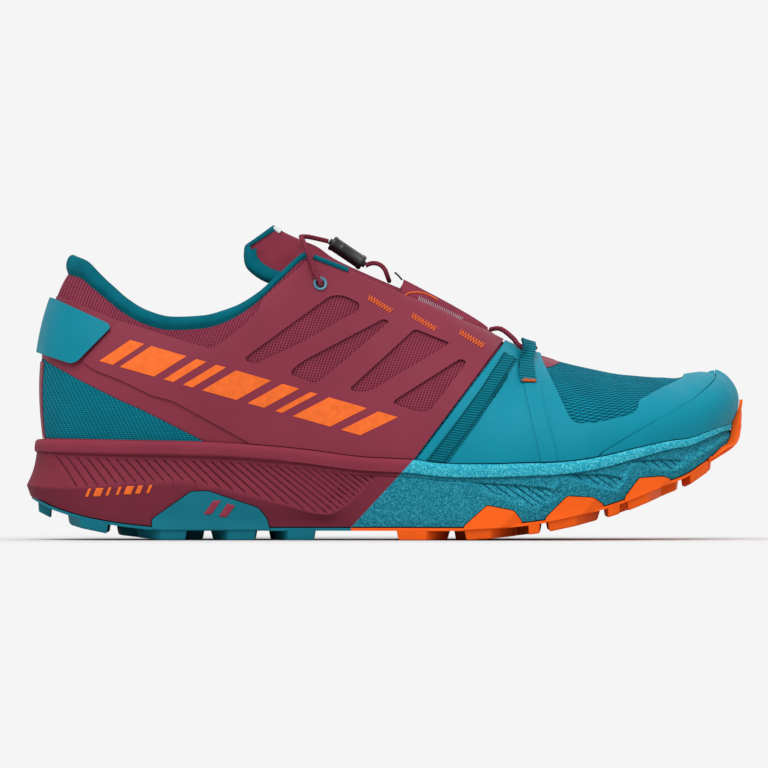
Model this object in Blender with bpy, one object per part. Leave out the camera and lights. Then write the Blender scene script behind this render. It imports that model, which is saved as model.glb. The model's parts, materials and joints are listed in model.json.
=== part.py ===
"""A trail running shoe for the right foot: toe at +X, outer side at -Y, floor at Z 0. Metres."""

import functools
import math

import bmesh
import bpy
import numpy as np
from mathutils import Vector

# Driving sizes of the sole
SHOE_LENGTH = 0.280
BALL_WIDTH = 0.094  # the upper across the ball, at the sole line
LUG_DEPTH = 0.0036
OUTSOLE_BASE = 0.0011
SIDE_HEIGHT = 0.0342  # midsole's side wall at the heel
FOOTBED_HEIGHT = 0.0216  # midsole under the heel
TOE_SPRING = 0.0376
HEEL_BEVEL = 0.0128
SOLE_FLARE = 0.0071  # how far the heel's crest stands out from the upper
FLANGE_HEIGHT = 0.0055
RIB_PITCH = 0.0052
RIB_WIDTH = 0.0013
RIB_DEPTH = 0.0009

# Driving sizes of the upper
INSTEP_HEIGHT = 0.0735  # sole line up to the top eyelet's corner
WALL = 0.0018
FEATHER_TUCK = 0.0025  # how far the upper's lower edge turns in under the foot
OVERLAY = 0.0008
TOE_CAP = 0.0013
HEEL_TAB = 0.0024
RIM_HALF_WIDTH = 0.0026
RIM_HEEL_HEIGHT = 0.0068
RIM_SIDE_HEIGHT = 0.0040
INSOLE = 0.0038
TONGUE_TOP_THICKNESS = 0.0050
TONGUE_FRONT_THICKNESS = 0.0018
EYELET_HOLE = 0.0019
EYELET_RING = 0.0027
EYELET_HEIGHT = 0.0009

# Driving sizes of the lacing
LACE = 0.0018
WEBBING = 0.0010
TOGGLE_LENGTH = 0.0150
TOGGLE = 0.0060
GAP = 0.0003
GLUE_GAP = 0.00045  # between midsole and outsole
BLOCK_DEPTH = 0.0022  # how deep the lug blocks sit in the side wall
BLOCK_PROUD = 0.0008
LIP_DROP = 0.0002  # the midsole's lip below the sole line
INSOLE_CLEARANCE = 0.0012
TONGUE_EDGE_DROP = 0.0012
EYELET_BARREL = 0.0032
HALF_WIDTH_LIMIT = BALL_WIDTH * 1.07  # cutters reach this far to each side

BOTTOM = LUG_DEPTH + OUTSOLE_BASE + GLUE_GAP
SOLE_LINE = BOTTOM + SIDE_HEIGHT
SPLIT = 0.4535  # share of the length where the outsole changes from heel to forefoot
LATERAL, MEDIAL = -1, 1

# Sections from toe tip to heel tip. base: the upper's outline at the sole line. top: its upper edge, or the
# ridge where half is 0. u: share of the length. mid, half: shares of the ball width. height: share of the
# instep height. round: how square the section is. bulge: how far it swells, as a share of the ball width.
SECTION_COLUMNS = ("base_u", "base_mid", "base_half", "top_u", "top_mid", "top_half", "height", "round", "bulge")
SECTIONS = (
    (0.980, 0.074, 0.000, 0.955, 0.069, 0.000, 0.252, 2.60, 0.029),
    (0.973, 0.069, 0.133, 0.949, 0.067, 0.000, 0.260, 2.55, 0.028),
    (0.956, 0.061, 0.242, 0.935, 0.064, 0.000, 0.283, 2.40, 0.024),
    (0.927, 0.053, 0.335, 0.911, 0.059, 0.000, 0.310, 2.30, 0.018),
    (0.884, 0.040, 0.412, 0.879, 0.053, 0.000, 0.340, 2.20, 0.017),
    (0.830, 0.024, 0.465, 0.835, 0.043, 0.000, 0.401, 2.10, 0.016),
    (0.770, 0.005, 0.489, 0.785, 0.032, 0.000, 0.483, 2.00, 0.014),
    (0.715, -0.013, 0.481, 0.735, 0.021, 0.000, 0.544, 1.95, 0.012),
    (0.680, -0.025, 0.464, 0.703, 0.016, 0.000, 0.585, 1.90, 0.011),
    (0.663, -0.032, 0.452, 0.690, 0.013, 0.074, 0.602, 1.85, 0.010),
    (0.645, -0.040, 0.439, 0.668, 0.011, 0.112, 0.639, 1.80, 0.009),
    (0.610, -0.051, 0.412, 0.638, 0.005, 0.144, 0.697, 1.70, 0.009),
    (0.560, -0.059, 0.378, 0.595, 0.000, 0.170, 0.756, 1.60, 0.009),
    (0.500, -0.056, 0.348, 0.540, 0.000, 0.189, 0.830, 1.55, 0.009),
    (0.440, -0.048, 0.330, 0.485, -0.005, 0.207, 0.901, 1.50, 0.009),
    (0.385, -0.037, 0.322, 0.432, -0.005, 0.223, 0.967, 1.50, 0.009),
    (0.340, -0.029, 0.322, 0.398, -0.005, 0.239, 1.000, 1.50, 0.010),
    (0.300, -0.024, 0.327, 0.358, -0.005, 0.261, 0.870, 1.50, 0.013),
    (0.260, -0.021, 0.335, 0.325, -0.005, 0.277, 0.742, 1.50, 0.016),
    (0.225, -0.017, 0.345, 0.289, -0.005, 0.287, 0.652, 1.50, 0.018),
    (0.190, -0.012, 0.350, 0.248, -0.003, 0.296, 0.603, 1.50, 0.020),
    (0.155, -0.009, 0.347, 0.205, -0.002, 0.289, 0.592, 1.50, 0.022),
    (0.120, -0.006, 0.334, 0.168, -0.002, 0.273, 0.622, 1.50, 0.025),
    (0.090, -0.005, 0.309, 0.140, -0.001, 0.247, 0.676, 1.52, 0.028),
    (0.065, -0.004, 0.268, 0.118, 0.000, 0.215, 0.740, 1.55, 0.032),
    (0.045, -0.003, 0.205, 0.097, 0.000, 0.178, 0.806, 1.60, 0.031),
    (0.031, -0.002, 0.115, 0.079, 0.000, 0.115, 0.860, 1.60, 0.032),
    (0.026, 0.000, 0.000, 0.0625, 0.000, 0.000, 0.878, 1.60, 0.031),
)
THROAT_ROW, HEEL_ROW = 8, len(SECTIONS) - 1
TOE_STATIONS, REAR_STATIONS = 9, 18
STATIONS = TOE_STATIONS + REAR_STATIONS
UPPER_STEPS = 5

# Curves along the sole, as (share of the length, share of the named size)
BEVEL_CURVE = ((0.0, 1.06), (0.0056, 1.0), (0.042, 0.61), (0.10, 0.258), (0.153, 0.086), (0.2, 0.0), (1.0, 0.0))
SPRING_CURVE = (
    (0.0, 0.0), (0.60, 0.0), (0.65, 0.018), (0.69, 0.05), (0.723, 0.083), (0.80, 0.215), (0.833, 0.293),
    (0.897, 0.487), (0.918, 0.548), (0.94, 0.655), (0.96, 0.76), (0.975, 0.86), (0.985, 1.0), (1.0, 1.12),
)
SIDE_CURVE = (
    (0.0, 1.0), (0.03, 1.0), (0.15, 0.985), (0.25, 0.968), (0.30, 0.947), (0.384, 0.886), (0.476, 0.792),
    (0.54, 0.766), (0.577, 0.728), (0.633, 0.705), (0.69, 0.670), (0.705, 0.658), (0.776, 0.582),
    (0.833, 0.547), (0.889, 0.465), (0.946, 0.333), (0.966, 0.275), (0.983, 0.165), (1.0, 0.10),
)
FOOTBED_CURVE = (
    (0.0, 1.0), (0.1, 1.0), (0.25, 0.97), (0.40, 0.84), (0.55, 0.70), (0.65, 0.62), (0.75, 0.58),
    (0.83, 0.56), (0.90, 0.49), (0.946, 0.35), (0.985, 0.07), (1.0, 0.05),
)
# Height of the crest below the ribs, as a share of the way up the side wall
CREST_CURVE = (
    (0.0, 0.26), (0.05, 0.37), (0.15, 0.575), (0.2165, 0.635), (0.25, 0.58), (0.30, 0.485), (0.363, 0.33),
    (0.42, 0.20), (0.445, 0.34), (0.4965, 0.88), (0.55, 0.88), (0.60, 0.87), (0.623, 0.84), (0.65, 0.72),
    (0.70, 0.42), (0.715, 0.31), (0.730, 0.55), (0.747, 0.86), (0.775, 0.68), (0.80, 0.44), (0.8185, 0.30),
    (0.832, 0.55), (0.8414, 0.82), (0.868, 0.60), (0.895, 0.36), (0.908, 0.28), (0.921, 0.45), (1.0, 0.50),
)
# How far each line of the side wall stands out, as shares of the sole's flare, along the length
FLANGE_OUT = ((0.0, 0.56), (0.1, 0.48), (0.3, 0.42), (0.7, 0.42), (0.9, 0.36), (0.97, 0.22), (1.0, 0.20))
GROOVE_OUT = ((0.0, 0.46), (0.1, 0.36), (0.3, 0.28), (0.7, 0.28), (0.9, 0.24), (0.97, 0.17), (1.0, 0.16))
CREST_OUT = (
    (0.0, 1.0), (0.1, 0.86), (0.25, 0.72), (0.42, 0.45), (0.50, 0.38), (0.60, 0.42), (0.715, 0.56),
    (0.8, 0.56),
    (0.92, 0.34), (1.0, 0.10),
)
FOOT_OUT = (
    (0.0, 0.78), (0.1, 0.66), (0.25, 0.50), (0.42, 0.22), (0.55, 0.42), (0.8, 0.44), (0.92, 0.26),
    (1.0, 0.06),
)
FLANGE_SHARE = ((0.0, 0.82), (0.1, 1.0), (0.6, 0.94), (0.8, 0.80), (0.95, 0.45), (1.0, 0.35))

RIM_FIRST_ROW = 16.4
EYELET_BORE = 0.0013
POCKET_STATIONS = (3.9, 6.35)  # along the tongue's stations
POCKET_SPREAD = 0.85
POCKET_FILM = 0.0008
POCKET_REAR = 0.0032
# The lace loop's two long edges, as (section row, angle in degrees) at the throat and down on the vamp
LOOP_FRONT = ((8.05, 86), (7.30, 53))
LOOP_REAR = ((9.35, 86), (7.95, 51))
LOOP_RISE = ((0.0, 0.0), (0.40, 0.0), (0.68, 1.0), (1.0, 1.0))

# Toe bumper, by section row: height above the sole line as a share of the instep height, and how far out
BUMPER_RISE = ((0.0, 0.112), (0.25, 0.050), (0.5, -0.050), (1.0, -0.098), (1.6, -0.112), (2.2, -0.14))
BUMPER_REACH = 0.0039
BUMPER_LEAST = 0.0012
BUMPER_FADE = ((0.0, 1.0), (1.0, 0.86), (1.6, 0.62), (2.4, 0.30))
BUMPER_PROFILE = ((0.0, 0.70), (0.25, 0.94), (0.5, 1.0), (0.75, 0.96), (1.0, 0.62))


def curve(pairs, at, flat_ends=False):
    """Value at a key on a smooth curve through (key, value) pairs, which never overshoots them."""
    keys = np.array([pair[0] for pair in pairs], float)
    values = np.array([pair[1] for pair in pairs], float)
    at = min(max(at, keys[0]), keys[-1])
    steps = np.diff(keys)
    rises = np.diff(values) / steps
    slopes = np.zeros(len(keys))
    if not flat_ends:
        slopes[0], slopes[-1] = rises[0], rises[-1]
    for k in range(1, len(keys) - 1):
        if rises[k - 1] * rises[k] > 0:
            slopes[k] = 2 / (1 / rises[k - 1] + 1 / rises[k])
    k = min(int(np.searchsorted(keys, at, side="right")) - 1, len(steps) - 1)
    t = (at - keys[k]) / steps[k]
    start = (1 + 2 * t) * (1 - t) ** 2 * values[k] + t * (1 - t) ** 2 * steps[k] * slopes[k]
    end = t * t * (3 - 2 * t) * values[k + 1] + t * t * (t - 1) * steps[k] * slopes[k + 1]
    return float(start + end)


@functools.lru_cache(maxsize=None)
def section(row):
    """The section at a fractional row of SECTIONS, by column name."""
    found = {}
    for column, name in enumerate(SECTION_COLUMNS):
        pairs = [(index, values[column]) for index, values in enumerate(SECTIONS)]
        found[name] = curve(pairs, row, flat_ends=not name.endswith("half"))
    return found


def x_at(u):
    return (u - 0.5) * SHOE_LENGTH


def u_of(x):
    return x / SHOE_LENGTH + 0.5


def spring(u):
    return TOE_SPRING * curve(SPRING_CURVE, u)


def rocker(u):
    """Height of the midsole's underside."""
    return BOTTOM + HEEL_BEVEL * curve(BEVEL_CURVE, u) + spring(u)


def sole_line(u):
    """Height of the midsole's upper edge, where the upper comes out of it."""
    return BOTTOM + SIDE_HEIGHT * curve(SIDE_CURVE, u) + spring(u)


def footbed(u):
    return BOTTOM + FOOTBED_HEIGHT * curve(FOOTBED_CURVE, u) + spring(u)


def crest_height(u):
    low, high = rocker(u), sole_line(u) - FLANGE_HEIGHT * curve(FLANGE_SHARE, u)
    return low + (high - low) * curve(CREST_CURVE, u)


def base_point(row, side):
    """The upper's outline at the sole line, as (x, y)."""
    at = section(row)
    return np.array([x_at(at["base_u"]), BALL_WIDTH * (at["base_mid"] + side * at["base_half"])])


def outward(row, side):
    """Unit normal of that outline in plan, pointing away from the foot."""
    step = 0.02
    if row < step:
        return np.array([1.0, 0.0])
    if row > HEEL_ROW - step:
        return np.array([-1.0, 0.0])
    along = base_point(row + step, side) - base_point(row - step, side)
    normal = np.array([along[1], -along[0]]) * side
    return normal / np.linalg.norm(normal)


def ring():
    """(row, side) of each column round the shoe: toe tip, lateral side, heel tip, medial side."""
    front = np.linspace(0, THROAT_ROW, TOE_STATIONS + 1)
    rear = np.linspace(THROAT_ROW, HEEL_ROW, REAR_STATIONS + 1)[1:]
    rows = [*front, *rear]
    return [(row, LATERAL) for row in rows] + [(row, MEDIAL) for row in rows[-2:0:-1]]


def cup_points(row, side, out):
    """The three rows of the upper that stand inside the midsole's cup, from its lower edge to the sole line."""
    base, normal = base_point(row, side), outward(row, side)
    low, high = footbed(u_of(base[0])) + GAP, sole_line(u_of(base[0]))
    points = []
    for rise, tuck in ((0.0, 1.0), (0.35, 0.3), (1.0, 0.0)):
        plan = base + normal * (out - FEATHER_TUCK * tuck)
        points.append((plan[0], plan[1], low + (high - low) * rise))
    return points


def upper_point(row, side, angle):
    """A point of the upper's outer face: angle 0 at the sole line, a quarter turn at the top edge or ridge."""
    at = section(row)
    base, normal = base_point(row, side), outward(row, side)
    top = np.array([x_at(at["top_u"]), BALL_WIDTH * (at["top_mid"] + side * at["top_half"])])
    power = 2 / at["round"]
    inset = 1 - max(math.cos(angle), 0.0) ** power
    rise = math.sin(angle) ** power
    swell = BALL_WIDTH * at["bulge"] * math.sin(math.pi * rise)
    plan = base + (top - base) * inset + normal * swell
    height = sole_line(u_of(base[0])) + INSTEP_HEIGHT * at["height"] * rise
    return Vector((plan[0], plan[1], height))


def stand_off(grid, distance):
    """The same grid, moved outward along its own normals, with the two sides of the ridge kept together."""
    count, rows = len(grid), len(grid[0])
    points = np.array(grid, float)
    along = np.roll(points, -1, 0) - np.roll(points, 1, 0)
    up = np.gradient(points, axis=1)
    normals = np.cross(up, along)
    normals /= np.maximum(np.linalg.norm(normals, axis=2, keepdims=True), 1e-12)
    for column in range(1, TOE_STATIONS + 1):
        twin = count - column
        ridge = normals[column, -1] + normals[twin, -1]
        normals[column, -1] = normals[twin, -1] = ridge / np.linalg.norm(ridge)
    moved = points + normals * distance
    return [[Vector(moved[c, r]) for r in range(rows)] for c in range(count)]


def clear_scene():
    for thing in list(bpy.data.objects):
        bpy.data.objects.remove(thing)


def collection(name):
    made = bpy.data.collections.new(name)
    bpy.context.scene.collection.children.link(made)
    return made


def material(name, colour, roughness=0.7, metallic=0.0):
    made = bpy.data.materials.new(name)
    made.use_nodes = True
    shader = made.node_tree.nodes["Principled BSDF"]
    shader.inputs["Base Color"].default_value = (*colour, 1)
    shader.inputs["Roughness"].default_value = roughness
    shader.inputs["Metallic"].default_value = metallic
    return made


def mesh_object(name, bm, home, finish=None):
    """A new object from a bmesh, with doubled points merged and faces pointing out."""
    bmesh.ops.remove_doubles(bm, verts=bm.verts, dist=1e-6)
    bmesh.ops.triangulate(bm, faces=bm.faces, quad_method="FIXED")
    bmesh.ops.recalc_face_normals(bm, faces=bm.faces)
    mesh = bpy.data.meshes.new(name)
    bm.to_mesh(mesh)
    bm.free()
    made = bpy.data.objects.new(name, mesh)
    home.objects.link(made)
    if finish:
        mesh.materials.append(finish)
    return made


def solid_of_columns(name, columns, home, finish=None):
    """A solid whose columns of points run round the shoe and meet at the centre line, above and below."""
    bm = bmesh.new()
    verts = [[bm.verts.new(point) for point in column] for column in columns]
    for here, there in zip(verts, verts[1:] + verts[:1]):
        for r in range(len(here) - 1):
            bm.faces.new((here[r], there[r], there[r + 1], here[r + 1]))
    bmesh.ops.remove_doubles(bm, verts=bm.verts, dist=1e-6)
    for edge_loop in open_loops(bm):
        bm.faces.new(edge_loop)
    return mesh_object(name, bm, home, finish)


def open_loops(bm):
    """The loops of vertices round each hole that a mesh still has."""
    free = {edge for edge in bm.edges if edge.is_boundary}
    loops = []
    while free:
        edge = free.pop()
        loop, here = [edge.verts[0]], edge.verts[1]
        while here is not loop[0]:
            loop.append(here)
            step = next(e for e in here.link_edges if e in free)
            free.discard(step)
            here = step.other_vert(here)
        loops.append(loop)
    return loops


def shell(name, inner, outer, home, finish=None, closed=False, zipped=()):
    """A solid between two matching grids. Zipped columns share their top point with the other side."""
    bm = bmesh.new()
    verts = [[bm.verts.new(point) for point in [*low, *high[::-1]]] for low, high in zip(inner, outer)]
    count, rows, rim = len(verts), len(verts[0]), len(inner[0]) - 1
    for c in range(count if closed else count - 1):
        here, there = verts[c], verts[(c + 1) % count]
        for r in range(rows):
            n = (r + 1) % rows
            if r == rim and c in zipped and (c + 1) % count in zipped:
                continue
            if r < rim:
                bm.faces.new((here[r], there[r], there[n]))
                bm.faces.new((here[r], there[n], here[n]))
            else:
                bm.faces.new((here[r], there[r], here[n]))
                bm.faces.new((there[r], there[n], here[n]))
    if not closed:
        bm.faces.new(verts[0][::-1])
        bm.faces.new(verts[-1])
    return mesh_object(name, bm, home, finish)


def lofted(name, rings, home, finish=None):
    """A solid through rings of points, closed at both ends."""
    bm = bmesh.new()
    verts = [[bm.verts.new(point) for point in ring_points] for ring_points in rings]
    for here, there in zip(verts, verts[1:]):
        for n in range(len(here)):
            m = (n + 1) % len(here)
            bm.faces.new((here[n], here[m], there[m], there[n]))
    bm.faces.new(verts[0][::-1])
    bm.faces.new(verts[-1])
    return mesh_object(name, bm, home, finish)


def frames_along(points):
    """For each point of a path: the point and two unit vectors square to the path, without twist."""
    points = [Vector(point) for point in points]
    first = (points[1] - points[0]).normalized().orthogonal().normalized()
    found = []
    for k, point in enumerate(points):
        along = (points[min(k + 1, len(points) - 1)] - points[max(k - 1, 0)]).normalized()
        first = (first - along * first.dot(along)).normalized()
        found.append((point, first, along.cross(first)))
    return found


def circle(centre, a, b, radius, sides):
    turns = [2 * math.pi * n / sides for n in range(sides)]
    return [centre + (a * math.cos(turn) + b * math.sin(turn)) * radius for turn in turns]


def cord(name, points, home, finish, sides=6):
    """A round cord of the lace's thickness along a path."""
    rings = [circle(point, a, b, LACE / 2, sides) for point, a, b in frames_along(smooth(points))]
    return lofted(name, rings, home, finish)


def smooth(points, steps=1):
    """Points on a smooth curve through the given ones."""
    points = [np.array(point, float) for point in points]
    ends = [2 * points[0] - points[1], *points, 2 * points[-1] - points[-2]]
    found = []
    for a, b, c, d in zip(ends, ends[1:], ends[2:], ends[3:]):
        for t in np.arange(steps) / steps:
            bend, twist = 2 * a - 5 * b + 4 * c - d, 3 * b - a - 3 * c + d
            found.append(0.5 * (2 * b + (c - a) * t + bend * t * t + twist * t ** 3))
    return [Vector(point) for point in [*found, points[-1]]]


def settle(made):
    """Replaces the object's mesh by its evaluated one, so that later cuts start from a plain mesh."""
    bpy.context.view_layer.update()
    graph = bpy.context.evaluated_depsgraph_get()
    mesh = bpy.data.meshes.new_from_object(made.evaluated_get(graph))
    made.modifiers.clear()
    made.data = mesh
    return made


def combine(made, other, operation):
    """Boolean of two mesh objects, applied. The other object is removed."""
    cut = made.modifiers.new("cut", "BOOLEAN")
    cut.operation = operation
    cut.solver = "EXACT"
    cut.object = other
    settle(made)
    bpy.data.objects.remove(other)
    return made


def prism(name, outline, home, low=-HALF_WIDTH_LIMIT, high=HALF_WIDTH_LIMIT):
    """A block across the shoe with a side-view outline of (x, z) points, from y low to y high."""
    near = [Vector((x, low, z)) for x, z in outline]
    far = [Vector((x, high, z)) for x, z in outline]
    return lofted(name, [near, far], home)


def grown(outline, distance):
    """A polygon with each side moved out by a distance."""
    points = [Vector(point) for point in outline]
    area = sum(a.x * b.y - b.x * a.y for a, b in zip(points, points[1:] + points[:1]))
    turn = 1 if area > 0 else -1
    moved = []
    for before, here, after in zip(points[-1:] + points[:-1], points, points[1:] + points[:1]):
        first, second = (here - before).normalized(), (after - here).normalized()
        a, b = Vector((first.y, -first.x)) * turn, Vector((second.y, -second.x)) * turn
        moved.append(here + (a + b) * (distance / max(1 + a.dot(b), 0.4)))
    return moved


def side_view(points):
    """(share of the length, share of the instep height above the heel's sole line) as (x, z)."""
    return [(x_at(u), SOLE_LINE + INSTEP_HEIGHT * h) for u, h in points]


def axis_point(row, height):
    """The point of the sole's centre line that a section's column runs to."""
    at = section(row)
    share = (at["base_u"] - SECTIONS[-1][0]) / (SECTIONS[0][0] - SECTIONS[-1][0])
    u = 0.09 + 0.84 * share
    return Vector((x_at(u), BALL_WIDTH * at["base_mid"], height(u)))


def across(row, edge, height, shares):
    """Points from the edge (x, y) in towards the centre line, at heights read along the length."""
    axis = axis_point(row, height)
    points = []
    for share in shares:
        x, y = edge[0] + (axis.x - edge[0]) * share, edge[1] + (axis.y - edge[1]) * share
        points.append(Vector((x, y, height(u_of(x)))))
    return points


def side_wall(row, side, extra=0.0):
    """The midsole's side from its foot up to its lip: foot, crest, groove, flange underside and flange edge."""
    base, normal = base_point(row, side), outward(row, side)
    u = u_of(base[0])
    line, low = sole_line(u), rocker(u)
    flange = FLANGE_HEIGHT * curve(FLANGE_SHARE, u)
    rows = (
        (FOOT_OUT, low + 0.08 * (line - low)),
        (CREST_OUT, crest_height(u)),
        (GROOVE_OUT, line - flange - 0.06 * (line - low)),
        (FLANGE_OUT, line - flange),
        (FLANGE_OUT, line - 0.72 * flange),
    )
    points = []
    for reach, z in rows:
        plan = base + normal * (SOLE_FLARE * curve(reach, u) + extra)
        points.append(Vector((plan[0], plan[1], z)))
    return points


def foot_edge(row, side, out=0.0):
    """Where the side wall turns under, as (x, y)."""
    base = base_point(row, side)
    reach = SOLE_FLARE * (curve(FOOT_OUT, u_of(base[0])) - 0.06)
    return base + outward(row, side) * (reach + out)


def midsole_columns():
    columns = []
    for row, side in ring():
        base, normal = base_point(row, side), outward(row, side)
        line = sole_line(u_of(base[0]))
        under = across(row, foot_edge(row, side), rocker, (1.0, 0.5, 0.0))
        lip = base + normal * (SOLE_FLARE * 0.16)
        inner = [Vector(point) for point in cup_points(row, side, GAP)][::-1]
        inner[-1].z -= GAP
        bed = across(row, (inner[-1].x, inner[-1].y), footbed, (0.5, 1.0))
        columns.append([*under, *side_wall(row, side), Vector((lip[0], lip[1], line - LIP_DROP)), *inner, *bed])
    return columns

# Side-view outlines: (share of the length, share of the instep height above the heel's sole line)
FOREFOOT_FILM = (
    (0.542, -0.123), (0.665, 0.497), (0.682, 0.630), (0.718, 0.577), (0.718, 0.428), (0.757, 0.107),
    (0.767, 0.081),
    (0.794, 0.085), (0.843, 0.129), (0.851, 0.159), (0.853, 0.204), (0.882, 0.264), (0.917, 0.325),
    (0.925, 0.471),
    (0.961, 0.471), (0.960, 0.354), (0.962, 0.330), (0.955, 0.296), (0.930, 0.214), (0.891, 0.124),
    (0.842, 0.023),
    (0.797, -0.080), (0.786, -0.245), (0.549, -0.271),
)
TOE_FILM = (
    (0.965, 0.497), (0.964, 0.356), (0.966, 0.330), (0.959, 0.288), (0.933, 0.205), (0.893, 0.114),
    (0.845, 0.013),
    (0.801, -0.088), (0.792, -0.271), (1.022, -0.271), (1.022, 0.497),
)
QUARTER_FILM = (
    (0.538, -0.123), (0.661, 0.505), (0.686, 0.603), (0.440, 1.10), (0.330, 0.736), (0.324, 0.677),
    (0.306, 0.603),
    (0.271, 0.502), (0.259, 0.476), (0.184, 0.561), (0.131, 0.625), (0.080, 0.407), (0.099, 0.359),
    (0.132, 0.312),
    (0.178, 0.227), (0.206, 0.200), (0.312, -0.021), (0.330, -0.192), (0.522, -0.218),
)
QUARTER_WINDOWS = (
    ((0.304, 0.422), (0.426, 0.759), (0.445, 0.757), (0.465, 0.717), (0.465, 0.683), (0.381, 0.502),
     (0.318, 0.391)),
    ((0.366, 0.344), (0.385, 0.407), (0.499, 0.635), (0.507, 0.619), (0.445, 0.415), (0.410, 0.306),
     (0.402, 0.296)),
    ((0.450, 0.259), (0.540, 0.574), (0.545, 0.577), (0.590, 0.508), (0.586, 0.492), (0.480, 0.253),
     (0.465, 0.243)),
    ((0.508, 0.190), (0.605, 0.423), (0.613, 0.410), (0.612, 0.391), (0.563, 0.148), (0.548, 0.140)),
)
HEEL_FILM = (
    (-0.03, 0.789), (0.038, 0.746), (0.116, 0.611), (0.120, 0.587), (0.073, 0.407), (0.064, 0.397),
    (-0.03, 0.513),
)
EYELET_PLACE = (0.410, 0.815)

# Tongue by station: section row it lies at, how far its middle stands over the throat's edge (share of the
# instep height), and how much narrower than the throat it is at each side (share of the ball width)
TONGUE_IN_THROAT = (
    (7.4, -0.066, 0.0), (8.4, -0.052, 0.0), (9.2, -0.036, 0.032), (10.0, -0.008, 0.030), (11.0, 0.022, 0.030),
    (12.0, 0.030, 0.030), (13.0, 0.031, 0.030), (14.0, 0.029, 0.032), (15.0, 0.028, 0.036),
)
TONGUE_NOSE_HALF = 0.060
# Above the throat: middle u and height, edge u and height, half width
TONGUE_ABOVE = (
    (0.4060, 1.010, 0.3860, 0.855, 0.196),
    (0.3850, 1.044, 0.3500, 0.835, 0.206),
    (0.3640, 1.080, 0.3200, 0.890, 0.216),
    (0.3435, 1.122, 0.2990, 1.000, 0.222),
)

# Outsole lugs by row across the sole: from and to along the length, from and to across (shares of the half
# width), how far the lug slants forward, and how much shorter its outer edge is, in front or behind
LUG_COLUMNS = ("start", "end", "inner", "outer", "slant", "bevel")
HEEL_LUGS = (
    (0.018, 0.036, 0.10, 0.50, 0.000, 0.0), (0.060, 0.117, 0.62, 0.98, 0.000, -0.018),
    (0.070, 0.120, 0.06, 0.48, -0.012, 0.0), (0.154, 0.226, 0.64, 0.98, 0.000, -0.036),
    (0.140, 0.190, 0.06, 0.50, -0.014, 0.0), (0.212, 0.256, 0.06, 0.50, -0.014, 0.0),
    (0.258, 0.322, 0.62, 0.98, 0.000, -0.024), (0.282, 0.330, 0.06, 0.50, -0.014, 0.0),
    (0.346, 0.404, 0.62, 0.98, 0.000, -0.020), (0.352, 0.400, 0.06, 0.50, -0.014, 0.0),
)
FOREFOOT_LUGS = (
    (0.517, 0.592, 0.62, 0.98, 0.000, 0.034), (0.520, 0.566, 0.06, 0.50, 0.014, 0.0),
    (0.611, 0.688, 0.62, 0.97, 0.000, 0.040), (0.590, 0.636, 0.06, 0.50, 0.014, 0.0),
    (0.660, 0.706, 0.06, 0.50, 0.014, 0.0), (0.699, 0.715, 0.66, 0.98, 0.000, 0.0),
    (0.726, 0.800, 0.62, 0.97, 0.000, 0.034), (0.730, 0.776, 0.06, 0.50, 0.014, 0.0),
    (0.800, 0.842, 0.06, 0.50, 0.012, 0.0), (0.809, 0.826, 0.66, 0.98, 0.000, 0.0),
    (0.836, 0.886, 0.60, 0.97, 0.000, 0.020), (0.864, 0.900, 0.06, 0.48, 0.010, 0.0),
    (0.914, 0.950, 0.54, 0.97, 0.000, -0.010), (0.922, 0.950, 0.08, 0.42, 0.006, 0.0),
)
# Lug blocks that wrap up the side wall, in side view: share of the length, height as a share of the side wall
HEEL_BLOCK = (
    (0.178, -0.20), (0.178, 0.08), (0.232, 0.41), (0.255, 0.42), (0.325, 0.23), (0.337, 0.10), (0.345, -0.20),
)
FOREFOOT_BLOCKS = (
    ((0.610, -0.20), (0.610, 0.01), (0.642, 0.325), (0.679, 0.205), (0.690, 0.02), (0.693, -0.20)),
    ((0.723, -0.12), (0.723, 0.02), (0.753, 0.345), (0.789, 0.21), (0.803, 0.02), (0.805, -0.10)),
    ((0.833, -0.12), (0.833, 0.03), (0.853, 0.32), (0.885, 0.16), (0.896, 0.03), (0.898, -0.12)),
)
RIB_LEAN = ((0.04, 0.75), (0.20, 1.0), (0.40, 1.54), (0.60, 1.3), (0.90, 1.0))
RIB_BANDS = ((0.058, 0.480), (0.600, 0.880))
RIBS_CURVED, RIBS_END = 0.10, 0.93  # up to where the wall curves round the heel, and where the last rib ends

# Lacing: points over the tongue as (u, across, height) shares, then on the upper as (row, angle, stand-off
# in laces)
STRAND_START = ((0.6475, 0.050, 0.578), (0.6580, 0.074, 0.584), (0.6670, 0.094, 0.570))
STRAND_ON_UPPER = (
    (9.70, 86, 1.78), (9.30, 82, 1.34), (8.80, 80, 1.28), (8.30, 82, 1.28), (7.90, 87, 1.28),
)
STRAND_MIDDLE = (7.70, 90, 1.34)
LEAD = (
    (0.4040, 0.302, 0.872), (0.4000, 0.291, 0.915), (0.3930, 0.280, 0.990), (0.3870, 0.240, 1.045),
    (0.3840, 0.175, 1.066),
    (0.3850, 0.110, 1.070), (0.3930, 0.055, 1.070), (0.4060, 0.026, 1.060), (0.4215, 0.015, 1.046),
)
# From the toggle to the middle of the loop that the lace's tail makes
TAIL = (
    (0.4738, 0.014, 0.9165), (0.4793, 0.0165, 0.9265), (0.4850, 0.020, 0.930), (0.4911, 0.0245, 0.9259),
    (0.4965, 0.0305, 0.9141), (0.5005, 0.036, 0.896), (0.5018, 0.041, 0.885), (0.5034, 0.0385, 0.8681),
    (0.5051, 0.029, 0.8501), (0.5062, 0.014, 0.8387), (0.5065, 0.0, 0.8357),
)
TOGGLE_ENDS = ((0.4260, 1.041), (0.4718, 0.923))


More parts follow.
